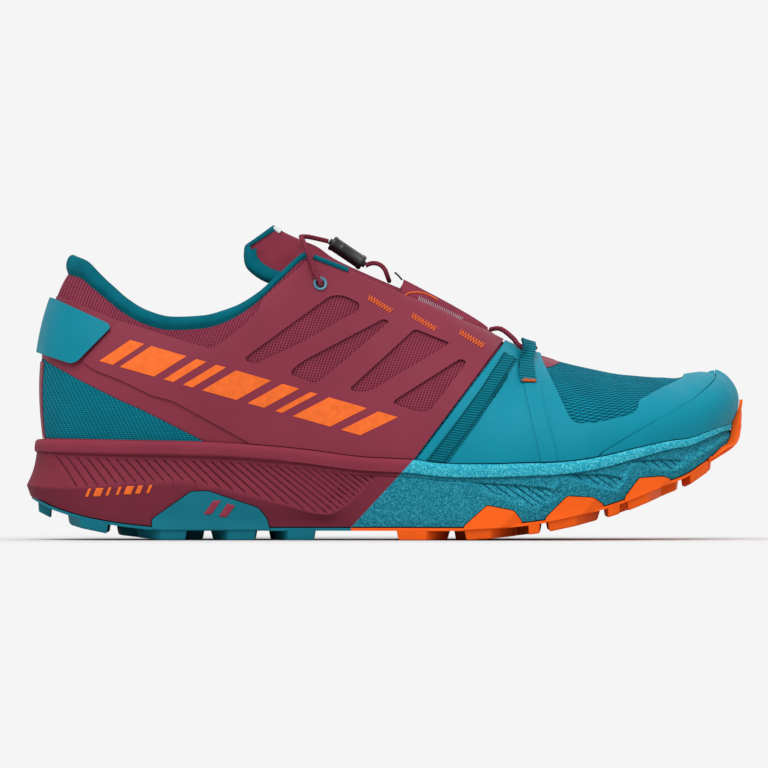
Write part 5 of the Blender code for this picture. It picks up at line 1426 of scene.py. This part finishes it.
def build_loops(finish):
    found = {}
    for side, word in SIDES:
        shares, rise = np.linspace(0, 1, 9), np.linspace(0, 1, 40)
        face, normal = np.zeros((9, 40, 3)), np.zeros((9, 40, 3))
        for i, w in enumerate(shares):
            (row_top, angle_top), (row_low, angle_low) = (
                [a * (1 - w) + b * w for a, b in zip(first, second)]
                for first, second in zip(LOOP_FRONT, LOOP_REAR)
            )
            angle_low -= LOOP_LONGER
            for k, t in enumerate(rise):
                row, angle = row_low + (row_top - row_low) * t, angle_low + (angle_top - angle_low) * t
                face[i, k], normal[i, k] = surface_at(row, side, math.radians(angle), 0.0)
        # One direction across the whole width, so that the tape keeps its width where it is lifted
        normal = unit(normal.mean(0))
        lift = GAP * 2 + OVERLAY + (LACE + GAP * 3) * curve(LOOP_RISE, rise)
        low = face + normal * lift[:, None]
        made = sharpen(shell("webbing_" + word, low, low + normal * WEBBING, finish), 50)
        found["loop_" + word] = show(made, "lace_loop_" + word, slot="teal_padding")
    return found


def locate(place, side):
    """Row and angle of the upper's face at a side-view place."""
    target = np.array(side_view([place])[0])
    row, angle, row_span, angle_span = HEEL_ROW / 2, math.pi / 4, HEEL_ROW / 2, math.pi / 4
    for _ in range(7):
        rows = np.clip(np.linspace(row - row_span, row + row_span, 13), 0, HEEL_ROW)
        angles = np.clip(np.linspace(angle - angle_span, angle + angle_span, 13), 0, math.pi / 2)
        points = upper_points(rows, np.full(13, side), angles)
        miss = np.hypot(points[..., 0] - target[0], points[..., 2] - target[1])
        r, a = np.unravel_index(np.argmin(miss), miss.shape)
        row, angle, row_span, angle_span = rows[r], angles[a], row_span / 4, angle_span / 4
    return row, angle


def eyelet_frame(side):
    row, angle = locate(EYELET_PLACE, side)
    return surface_at(row, side, angle, GAP + OVERLAY)


def lathe(start, axis, profile, count):
    """Loops round an axis, one for each (radius, way along it)."""
    a = np.array(Vector(axis).orthogonal().normalized())
    b = np.cross(axis, a)
    turns = np.linspace(0, TURN, count, endpoint=False)
    return np.array([
        [start + axis * along + (a * math.cos(t) + b * math.sin(t)) * radius for t in turns]
        for radius, along in profile
    ])


def build_eyelets(shade, finish):
    ring_profile = (
        (EYELET_BORE, -EYELET_BARREL), (EYELET_HOLE, -EYELET_BARREL), (EYELET_HOLE, GAP), (EYELET_RING, GAP),
        (EYELET_RING, GAP + EYELET_HEIGHT * 0.35), (EYELET_RING * 0.96, GAP + EYELET_HEIGHT * 0.6),
        (EYELET_RING * 0.88, GAP + EYELET_HEIGHT * 0.7), (EYELET_RING * 0.80, GAP + EYELET_HEIGHT * 0.6),
        (EYELET_RING * 0.77, GAP + EYELET_HEIGHT * 0.3), (EYELET_BORE, GAP),
    )
    # A black disc in the eyelet's hollow round its bore: painted shade
    inside, outside = EYELET_BORE * 0.98, EYELET_RING * 0.765
    disc = ((inside, GAP), (outside, GAP * 1.15), (outside, GAP * 1.5), (inside, GAP * 1.4))
    for side, word in SIDES:
        frame = eyelet_frame(side)
        made = tube_mesh("eyelet_ring_" + word, lathe(*frame, ring_profile, 40), finish, closed_along=True)
        show(sharpen(tidy(made), 50), "eyelet_" + word, slot="teal_film")
        made = tube_mesh("eyelet_shade_" + word, lathe(*frame, disc, 40), shade, closed_along=True)
        show(tidy(made), slot="black_plastic")


def lace_route():
    """The front crossing: out from under the pocket, through both loops and over the vamp."""
    legs = []
    for side in (LATERAL, MEDIAL):
        leg = list(placed(STRAND_START, side))
        for row, angle, lift in STRAND_ON_UPPER:
            leg.append(surface_at(row, side, math.radians(angle), LACE * lift)[0])
        legs.append(leg)
    row, angle, lift = STRAND_MIDDLE
    ridge = upper_points(np.array([row]), np.array([-1.0]), [math.pi / 2])[0, 0]
    middle = ridge + np.array([0, 0, LACE * lift])
    return np.array([*legs[0], middle, *legs[1][::-1]])


def build_lacing(cord_finish, lock_finish):
    made = round_tube("lace_crossing", smooth(lace_route(), 6), LACE / 2, cord_finish)
    show(made, "lace", slot="maroon_cord")
    for side, word in SIDES:
        face, normal = eyelet_frame(side)
        start = face + normal * (EYELET_HEIGHT + LACE * 0.6)
        path = smooth([start, *placed(LEAD, side)], 3)
        made = round_tube("lead_" + word, path, LACE / 2, cord_finish)
        show(made, "lace_lead_" + word, slot="maroon_cord")
    half = placed(TAIL)
    path = smooth([*half, *(half[-2::-1] * (1, -1, 1))], 1)
    made = round_tube("tail_loop", smooth(path, 3), LACE / 2, cord_finish)
    show(made, "lace_tail", slot="maroon_cord")
    build_lock(lock_finish)


def build_lock(finish):
    near, far = (np.array([x_at(u), 0, SOLE_LINE + INSTEP_HEIGHT * h]) for u, h in TOGGLE_ENDS)
    along = (far - near) / np.linalg.norm(far - near)
    a = np.array([0, 1.0, 0])
    b = np.cross(along, a)
    # Share of the barrel's radius, share of its length, with a nozzle at each end
    profile = (
        (0.0, -0.06), (0.38, -0.06), (0.42, -0.05), (0.42, 0.0), (0.80, 0.0), (0.93, 0.012), (1.0, 0.035),
        (1.0, 0.085), (0.97, 0.10), (0.93, 0.115), (0.93, 0.30), (0.95, 0.31), (0.93, 0.32), (0.93, 0.86),
        (0.97, 0.88), (1.0, 0.895), (1.0, 0.955), (0.95, 0.985), (0.82, 1.0), (0.42, 1.0), (0.42, 1.05),
        (0.38, 1.06), (0.0, 1.06),
    )
    turns = np.linspace(0, TURN, 36, endpoint=False)
    round_it = [a * math.cos(w) + b * math.sin(w) for w in turns]
    loops = []
    for radius, t in profile:
        flutes = 1 - 0.045 * (np.cos(turns * 6) > 0.2) * (0.52 < t < 0.9)
        start = near + along * TOGGLE_LENGTH * t
        loops.append([start + way * TOGGLE / 2 * radius * flute for way, flute in zip(round_it, flutes)])
    made = sharpen(tidy(tube_mesh("lock_barrel", np.array(loops), finish, capped=False)), 35)
    show(made, "cord_lock", slot="black_plastic")


def seams(name, face, routes, side, finish, slot, lift=0.0):
    """Thin threads or welded lines that follow side-view routes over a surface."""
    parts = []
    for points, radius in routes:
        path = face.lay(spaced(pixels(points), 0.0009), side, lift * radius)
        parts.append(round_tube(name, path, radius, finish, sides=6))
    return show(join(name, parts), slot=slot)


def zigzag(start, end, wide, turns=9):
    """A zigzag between two places, in pixels."""
    start, end = np.array(start, float), np.array(end, float)
    along = end - start
    across_it = np.array([-along[1], along[0]]) / np.linalg.norm(along) * wide / 2
    return [start + along * k / (2 * turns) + across_it * (1 if k % 2 else -1) for k in range(2 * turns + 1)]


def bar_tacks(name, face, tacks, side, finish):
    parts = []
    for start, end, wide in tacks:
        path = face.lay(spaced(pixels(zigzag(start, end, wide)), THREAD_SPACING), side, MARK_LIFT)
        parts.append(round_tube(name, path, THREAD, finish, sides=6))
    return show(join(name, parts), slot="orange_rubber")


def patch(name, face, outline, side, finish, lift=0.0002):
    """A small flat mark on a surface, with a low edge."""
    border = spaced([*outline, outline[0]], 0.0006)[:-1]
    centre = border.mean(0)
    rings = [centre + (border - centre) * share for share in (0.02, 0.35, 0.7, 0.97, 1.0)]
    lifts = (lift, lift, lift, lift, -lift)
    loops = [face.lay(places, side, by) for places, by in zip(rings, lifts)]
    loops.append(face.lay(rings[0], side, -lift))
    return tube_mesh(name, np.stack(loops), finish)


def slanted(start, end, first, last):
    """A slanted mark of a row, between two shares of the row's top and bottom lines."""
    (x0, y0), (x1, y1) = start
    (x2, y2), (x3, y3) = end
    top = [(x0 + (x1 - x0) * s, y0 + (y1 - y0) * s) for s in (first, last)]
    low = [(x2 + (x3 - x2) * s, y2 + (y3 - y2) * s) for s in (last, first)]
    return [*top, *low]


def foot_line(rows, sides):
    """The edge of the outsole's sheet in plan."""
    base, normal = base_point(rows, sides), outward(rows, sides)
    return base + normal * (SOLE_FLARE * (curve(FOOT_OUT, u_of(base[:, 0])) - 0.06))[:, None]


def sheet(name, finish):
    """The outsole's base sheet under the whole foot."""
    rows, sides, _ = ring(OUTSOLE_SPACING)
    edge = foot_line(rows, sides)
    top = across(rows, edge, lambda u: rocker(u) - GLUE_GAP, (1.0, 0.5, 0.0))
    low = across(rows, edge, lambda u: rocker(u) - GLUE_GAP - OUTSOLE_BASE, (0.0, 0.5, 1.0))
    return sole_solid(name, np.concatenate([top, low], 1), finish)


def lug_tables():
    """The sole's edge as y from u, for each side."""
    rows = np.linspace(0.4, HEEL_ROW - 0.4, 200)
    tables = {}
    for side in (LATERAL, MEDIAL):
        edge = foot_line(rows, np.full(len(rows), side))
        tables[side] = (u_of(edge[::-1, 0]), edge[::-1, 1])
    return tables


def row_at(u):
    """The section row whose base lies at a share of the length."""
    return np.interp(-u, -section(LUG_ROWS)["base_u"], LUG_ROWS)


def lug(spec, side, tables, finish):
    """One lug with rounded corners and a softened lower edge."""
    at = dict(zip(LUG_COLUMNS, spec))
    start, end = at["start"] - min(at["bevel"], 0), at["end"] - max(at["bevel"], 0)
    outer = at["outer"] + (LUG_FLUSH if at["outer"] > 0.9 else 0.0)
    corners = []
    for u, share in ((at["start"], at["inner"]), (at["end"], at["inner"]), (end, outer), (start, outer)):
        u += at["slant"] * (1 - share)
        centre = BALL_WIDTH * section(np.array([row_at(u)]))["base_mid"][0]
        corners.append((x_at(u), centre + (np.interp(u, *tables[side]) - centre) * share))
    plan = np.array([tuple(point) for point in rounded(corners, BLOCK_CORNER, 2)])
    middle = plan.mean(0)
    loops = []
    root = LUG_DEPTH + OUTSOLE_BASE * 0.5
    for shrink, rise in ((1.02, root), (0.95, LUG_DEPTH * 0.35), (0.925, 0.0004), (0.87, 0.0)):
        points = middle + (plan - middle) * shrink
        loops.append(np.column_stack([points, rocker(u_of(points[:, 0])) - BOTTOM + rise]))
    made = tidy(tube_mesh("lug", np.stack(loops), finish))
    triangulate(made)
    return made


def side_block(block, crease, side, finish):
    """A lug block on the side wall. Past its crease the face falls back towards the foam."""
    outline = block_outline(block)
    shares = [point[0] for point in block]
    rows = np.linspace(row_at(max(shares) + 0.02), row_at(min(shares) - 0.02), 90)
    sides = np.full(len(rows), side)
    base, normal = base_point(rows, sides), outward(rows, sides)
    reach, height = wall_profile(rows, sides)
    low = rocker(u_of(foot_line(rows, sides)[:, 0])) - GLUE_GAP - OUTSOLE_BASE * 0.6
    z = low[:, None] + (height[:, 2] - low)[:, None] * np.linspace(0, 1, 30)[None, :]
    out = np.array([np.interp(zs, hs, rs) for zs, hs, rs in zip(z, height, reach)])
    lift = np.full_like(out, BLOCK_PROUD)
    if crease:
        (x0, z0), (x1, z1) = pixels(crease)
        x = base[:, 0][:, None] + normal[:, 0][:, None] * out
        beyond = ((x - x0) * (z0 - z1) + (z - z0) * (x1 - x0)) / math.hypot(x1 - x0, z1 - z0)
        lift = np.maximum(BLOCK_PROUD - 0.42 * np.maximum(beyond, 0), 0.0004 - BLOCK_DEPTH)
    grids = []
    for by in (0 * lift - BLOCK_DEPTH, lift):
        plan = base[:, None] + normal[:, None] * (out + by)[..., None]
        grids.append(np.concatenate([plan, z[..., None]], -1))
    made = shell("block", *grids, finish)
    return triangulate(combine(made, prisms([rounded(outline, BLOCK_CORNER)]), "INTERSECT"))


def bumper(finish):
    """The toe bumper: a band round the toe, from the base sheet up over the flange, with two notches."""
    half = np.linspace(2.4, 0, 34)
    rows = np.concatenate([half, half[-2::-1]])
    sides = np.concatenate([np.full(len(half) - 1, MEDIAL), np.full(len(half), LATERAL)])
    base, normal = base_point(rows, sides), outward(rows, sides)
    line = sole_line(u_of(base[:, 0]))
    reach, height = wall_profile(rows, sides)
    edge = foot_line(rows, sides)
    foot = across(rows, edge, lambda u: rocker(u) - GLUE_GAP - OUTSOLE_BASE * 0.4, (0.0, 0.06))
    low, inside = foot.swapaxes(0, 1)
    top = line + INSTEP_HEIGHT * curve(BUMPER_RISE, rows)
    fade = curve(BUMPER_FADE, rows)
    seat_low = np.sum((edge - base) * normal, 1)
    reached = SOLE_FLARE * 0.18 + BUMPER_REACH * fade * BUMPER_PROFILE[0][1]
    out_low = seat_low + np.maximum(reached - seat_low, BUMPER_LEAST)
    near = [inside]
    far = [np.column_stack([base + normal * out_low[:, None], low[:, 2] - OUTSOLE_BASE / 2])]
    at = section(rows)
    for share in np.linspace(0, 1, 17):
        z = low[:, 2] + (top - low[:, 2]) * share
        wall = np.array([np.interp(zk, hs, rs) for zk, hs, rs in zip(z, height, reach)]) + GAP
        climbed = np.clip((z - line) / (INSTEP_HEIGHT * at["height"]), 0, 1) ** (at["round"] / 2)
        over = np.array([
            upper_points(rows[k : k + 1], sides[k : k + 1], [math.asin(climbed[k])])[0, 0, :2]
            for k in range(len(rows))
        ])
        cap = np.sum((over - base) * normal, 1) + GAP * 2 + TOE_CAP
        seat = np.where(z < line, wall, cap)
        reached = SOLE_FLARE * 0.18 + BUMPER_REACH * fade * curve(BUMPER_PROFILE, share)
        out = seat + np.maximum(reached - seat, BUMPER_LEAST)
        for middle, deep, wide in BUMPER_NOTCHES:
            out = out - deep * np.exp(-(((share - middle) / wide) ** 2)) * (out - seat > deep)
        near.append(np.column_stack([base + normal * seat[:, None], z]))
        far.append(np.column_stack([base + normal * out[:, None], z]))
    return triangulate(shell("bumper", np.stack(near, 1), np.stack(far, 1), finish))


def build_outsoles(heel_finish, forefoot_finish):
    tables = lug_tables()
    cut = GAP / 5 / SHOE_LENGTH
    front_blocks = tuple(zip(FOREFOOT_BLOCKS, BLOCK_CREASES))
    halves = (
        ("heel", heel_finish, -0.1, SPLIT - cut, HEEL_LUGS, ((HEEL_BLOCK, None),), "teal_rubber"),
        ("forefoot", forefoot_finish, SPLIT + cut, 1.1, FOREFOOT_LUGS, front_blocks, "orange_rubber"),
    )
    found = {}
    for word, finish, start, end, lugs, blocks, slot in halves:
        made = triangulate(sheet("outsole_rubber_" + word, finish))
        outline = [(x_at(start), -0.05), (x_at(end), -0.05), (x_at(end), 0.2), (x_at(start), 0.2)]
        combine(made, prisms([outline]), "INTERSECT")
        for side in (LATERAL, MEDIAL):
            for block, crease in blocks:
                combine(made, side_block(block, crease, side, finish), "UNION")
            for spec in lugs:
                combine(made, lug(spec, side, tables, finish), "UNION")
        if word == "forefoot":
            combine(made, bumper(finish), "UNION")
        sharpen(made, 32)
        found[word] = show(made, "outsole_" + word, slot=slot)
    return found


def build_label(finish):
    """A bare label on the tongue's top."""
    last = len(tongue_stations()) - 1
    face = tongue_face(np.linspace(last - 0.62, last - 0.14, 16), np.linspace(-0.34, 0.34, 22))
    normals = tongue_normals(face)
    made = shell("tongue_label", face + normals * LABEL_LOW, face + normals * LABEL_HIGH, finish)
    return show(sharpen(made, 50), slot="grey_foam")


def build_pull_tab(finish):
    """The small tab at the rear of the lace pocket."""
    path = smooth([(x, 0.0, z) for x, z in pixels(PULL_TAB[::-1])], 5)
    # Half of its outline across the path, as shares of its half width and half thickness
    half = ((-1, -0.6), (-1, 0.6), (-0.9, 1), (0.9, 1))
    shares = (*half, *((-a, -b) for a, b in half))
    outline = [(a * PULL_HALF_WIDTH, b * PULL_HALF_THICKNESS) for a, b in shares]
    up = np.cross(unit(np.gradient(path, axis=0)), (0.0, 1.0, 0.0))
    loops = np.array([[p + np.array([0, y, 0]) + n * t for y, t in outline] for p, n in zip(path, up)])
    made = sharpen(tube_mesh("pocket_pull", loops, finish), 50)
    return show(tidy(made), slot="black_plastic")


def build_details(films, finishes):
    """Stitches, printed marks, tape and seams on both sides of the shoe."""
    pocket = Face(films["pocket"])
    midsole, heel = Face(films["midsole"]), Face(films["outsole_heel"])
    over = GAP + OVERLAY
    maroon, orange = finishes["maroon_film"], finishes["orange"]
    for side, word in SIDES:
        quarter = Face(films["quarter_" + word])
        bar_tacks("bar_tacks_" + word, quarter, BAR_TACKS, side, orange)
        bar_tacks("loop_tack_" + word, Face(films["loop_" + word]), (LOOP_TACK,), side, orange)
        dashes = [pixels(slanted(DASH_ROW[:2], DASH_ROW[2:], *share)) for share in DASHES]
        film(
            "side_dashes_" + word, over, over + MARK_LIFT, dashes, finishes["print"], (side, *QUARTER_ROWS),
            slot="orange_rubber",
        )
        edge = ((COLLAR_END, COLLAR_END_RADIUS),)
        seams("collar_end_" + word, quarter, edge, side, finishes["padding"], "teal_padding", 0.2)
        film("tongue_base_" + word, 0.00004, GAP * 0.8, [pixels(TONGUE_BASE)], maroon, (side, *BASE_ROWS))
        ladder = film(
            "ladder_tape_" + word, over, over + TAPE, [pixels(LADDER)], finishes["ladder"],
            (side, *LADDER_ROWS), slot="teal_padding",
        )
        ladder, dark_teal = Face(ladder), finishes["dark_teal"]
        seams("ladder_edges_" + word, ladder, LADDER_EDGES, side, dark_teal, "teal_padding", 0.2)
        film(
            "webbing_ridge_" + word, over, over + RIDGE_HEIGHT, [rounded(pixels(RIDGE), 0.0008)],
            finishes["teal_film"], (side, *RIDGE_ROWS), slot="teal_film",
        )
        arc = ((POCKET_ARC, PIPING_RADIUS),)
        seams("pocket_piping_" + word, pocket, arc, side, orange, "orange_rubber", 0.6)
        start, end, count, tall = POCKET_RIBS
        ribs = []
        for t in np.linspace(0, 1, count):
            x, y = start[0] + (end[0] - start[0]) * t, start[1] + (end[1] - start[1]) * t
            ribs.append((((x + 0.7, y - tall / 2), (x - 0.7, y + tall / 2)), POCKET_RIB_RADIUS))
        seams("pocket_ribs_" + word, pocket, ribs, side, finishes["grey"], "grey_foam", 0.5)
        first, last, tall, widths = MIDSOLE_TICKS
        ticks = []
        for t, wide in zip(np.linspace(0, 1, len(widths)), widths):
            x, y = first[0] + (last[0] - first[0]) * t, first[1] + (last[1] - first[1]) * t
            corners = ((2, -0.5), (2 + wide, -0.5), (wide - 1.5, 0.5), (-1.5, 0.5))
            outline = pixels([(x - wide / 2 + a, y + b * tall) for a, b in corners])
            ticks.append(patch("tick", midsole, outline, side, finishes["print"]))
        show(join("midsole_ticks_" + word, ticks), slot="orange_rubber")
        bars = [patch("bar", heel, pixels(outline), side, finishes["tick"]) for outline in BLOCK_BARS]
        show(join("block_bars_" + word, bars), slot="maroon_film")
    film("heel_band", 0.00005, GAP * 0.9, [pixels(HEEL_BAND)], maroon, ("rear", BAND_ROW))
    outline, cloth = pixels(HEEL_PANEL), finishes["heel_knit"]
    film("heel_panel", 0.00003, GAP * 0.8, [outline], cloth, ("rear", PANEL_ROW), slot="maroon_mesh")
    film("heel_strip", GAP, GAP * 2.2, [pixels(HEEL_STRIP)], maroon, ("rear", STRIP_ROW))
    build_label(finishes["label"])
    build_pull_tab(finishes["lock"])


LENS, SENSOR = 800.0, 36.0
NEAR_SIDE = -0.012  # the plane of the shoe that keeps the photograph's scale
WORLD, KEY, RIM = 0.913, 2.2, 0.6  # light of the surroundings, and of the two soft suns
# Tilt of each sun from straight down and its turn round the shoe, in degrees
KEY_TURN, RIM_TURN = (40, -12), (35, 160)
FLOOR_REACH = 12.0


def build_camera():
    data = bpy.data.cameras.new("camera")
    data.lens = LENS
    data.sensor_width = SENSOR
    data.clip_end = 100.0
    camera = added("camera", data)
    width, middle = PHOTO_SIZE * PIXEL, PHOTO_SIZE / 2
    x, z = pixels([(middle, middle)])[0]
    camera.location = (x, NEAR_SIDE - width * LENS / SENSOR, z)
    camera.rotation_euler = (math.radians(90), 0, 0)
    bpy.context.scene.camera = camera


def sun(name, strength, turn, spread):
    data = bpy.data.lights.new(name, "SUN")
    data.energy = strength
    data.angle = math.radians(spread)
    added(name, data).rotation_euler = (math.radians(turn[0]), 0, math.radians(turn[1]))


def build_stage():
    """A floor that reaches past the camera, and even light, so that floor and surroundings look alike."""
    corners = [(a * FLOOR_REACH, b * FLOOR_REACH, -0.0001) for a, b in ((-1, -1), (1, -1), (1, 1), (-1, 1))]
    suns = ((KEY, KEY_TURN), (RIM, RIM_TURN))
    on_floor = sum(power * math.cos(math.radians(turn[0])) / math.pi for power, turn in suns)
    floor = new_mesh("floor", corners, [(0, 1, 2, 3)], floor_finish(WORLD / (WORLD + on_floor)))
    world = bpy.data.worlds.new("studio")
    world.use_nodes = True
    world.node_tree.nodes["Background"].inputs["Color"].default_value = (1, 1, 1, 1)
    world.node_tree.nodes["Background"].inputs["Strength"].default_value = WORLD
    bpy.context.scene.world = world
    sun("key", KEY, KEY_TURN, 50)
    sun("rim", RIM, RIM_TURN, 60)
    bpy.context.scene.view_settings.view_transform = "Standard"


def floor_finish(level):
    n = Nodes("floor_paper", 1.0, 0.0)
    n.colour(n.drift((level,) * 3, n.noise(3.0), 0.997, 1.003))
    return n.made


def build_finishes():
    """The finishes that more than one piece, or a small detail, takes, by a short name."""
    return {
        "maroon_film": film_finish("maroon_film_finish", MAROON),
        "teal_film": film_finish("teal_film_finish", TEAL),
        "padding": padding_finish("teal_padding_finish", TEAL_DARK),
        "orange": grain_finish("orange_thread", ORANGE),
        "print": grain_finish("orange_print", ORANGE, 400.0, 0.00002),
        "dark_teal": grain_finish("dark_teal_weld", scaled(TEAL_DARK, 0.6)),
        "ladder": rib_finish("ladder_weave", WEBBING_TEAL, WEBBING_PITCH),
        "grey": grain_finish("grey_thread", GREY),
        "tick": grain_finish("foam_marks", scaled(MAROON, 1.25)),
        "heel_knit": knit("heel_knit", srgb(14, 120, 138), srgb(5, 92, 108), HEEL_PATTERN),
        "label": grain_finish("label_cloth", WHITE),
        "lock": plastic_finish("lock_plastic", BLACK),
        # The eyelets' black discs: painted shade in their hollows
        "hole": grain_finish("eyelet_shade", BLACK, 400.0, 0.00001, 0.0),
    }


def build_films(finishes):
    """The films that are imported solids. Gives the quarter's, which marks are laid on."""
    teal, over = finishes["teal_film"], GAP + OVERLAY
    outline = rounded(side_view(FOREFOOT_FILM))
    reach = ("front", FOREFOOT_ROW)
    film("forefoot_film", GAP, over, [outline], teal, reach, (), ("forefoot_overlay",), "teal_film")
    outline = grown(rounded(side_view(TOE_FILM)), TOE_SEAM)
    reach = ("front", TOE_CAP_ROW)
    film("toe_cap_film", GAP, GAP + TOE_CAP, [outline], teal, reach, (), ("toe_cap",), "teal_film")
    outline = rounded(side_view(QUARTER_FILM))
    windows = [rounded(side_view(window), WINDOW_CORNER) for window in QUARTER_WINDOWS]
    found = {}
    for side, word in SIDES:
        found["quarter_" + word] = film(
            "quarter_film_" + word, GAP, over, [outline], finishes["maroon_film"], (side, *QUARTER_ROWS),
            windows, ("quarter_overlay_" + word,),
        )
    outline = rounded(side_view(HEEL_FILM), 0.0012)
    tab = film_finish("tab_film_finish", TAB_TEAL)
    reach = ("rear", HEEL_TAB_ROW)
    film("heel_tab_film", GAP, GAP + HEEL_TAB, [outline], tab, reach, (), ("heel_tab",), "teal_film")
    return found


def main():
    build_camera()
    build_stage()
    finishes = build_finishes()
    front_mesh = (FILM_SPLIT, TEAL_MESH, TEAL_HOLE)
    build_upper(knit("knit_body", MAROON_MESH, MAROON_DARK, BODY_PATTERN, front_mesh))
    films = build_films(finishes)
    films["midsole"] = build_midsole(foam_finish())
    build_insole(padding_finish("insole_cloth", srgb(52, 52, 58)))
    build_rim(finishes["padding"])
    build_tongue(padding_finish("tongue_cloth", MAROON), finishes["padding"])
    films["pocket"] = build_pocket(padding_finish("pocket_cloth", MAROON))
    build_eyelets(finishes["hole"], plastic_finish("eyelet_finish", srgb(70, 128, 148), 0.3))
    films.update(build_loops(rib_finish("webbing_weave", WEBBING_TEAL, WEBBING_PITCH)))
    build_lacing(braid_finish("lace_braid", MAROON), finishes["lock"])
    teal_rubber = rubber_finish("teal_rubber_finish", TEAL_RUBBER)
    outsoles = build_outsoles(teal_rubber, rubber_finish("orange_rubber_finish", ORANGE_RUBBER))
    films["outsole_heel"] = outsoles["heel"]
    build_details(films, finishes)


main()
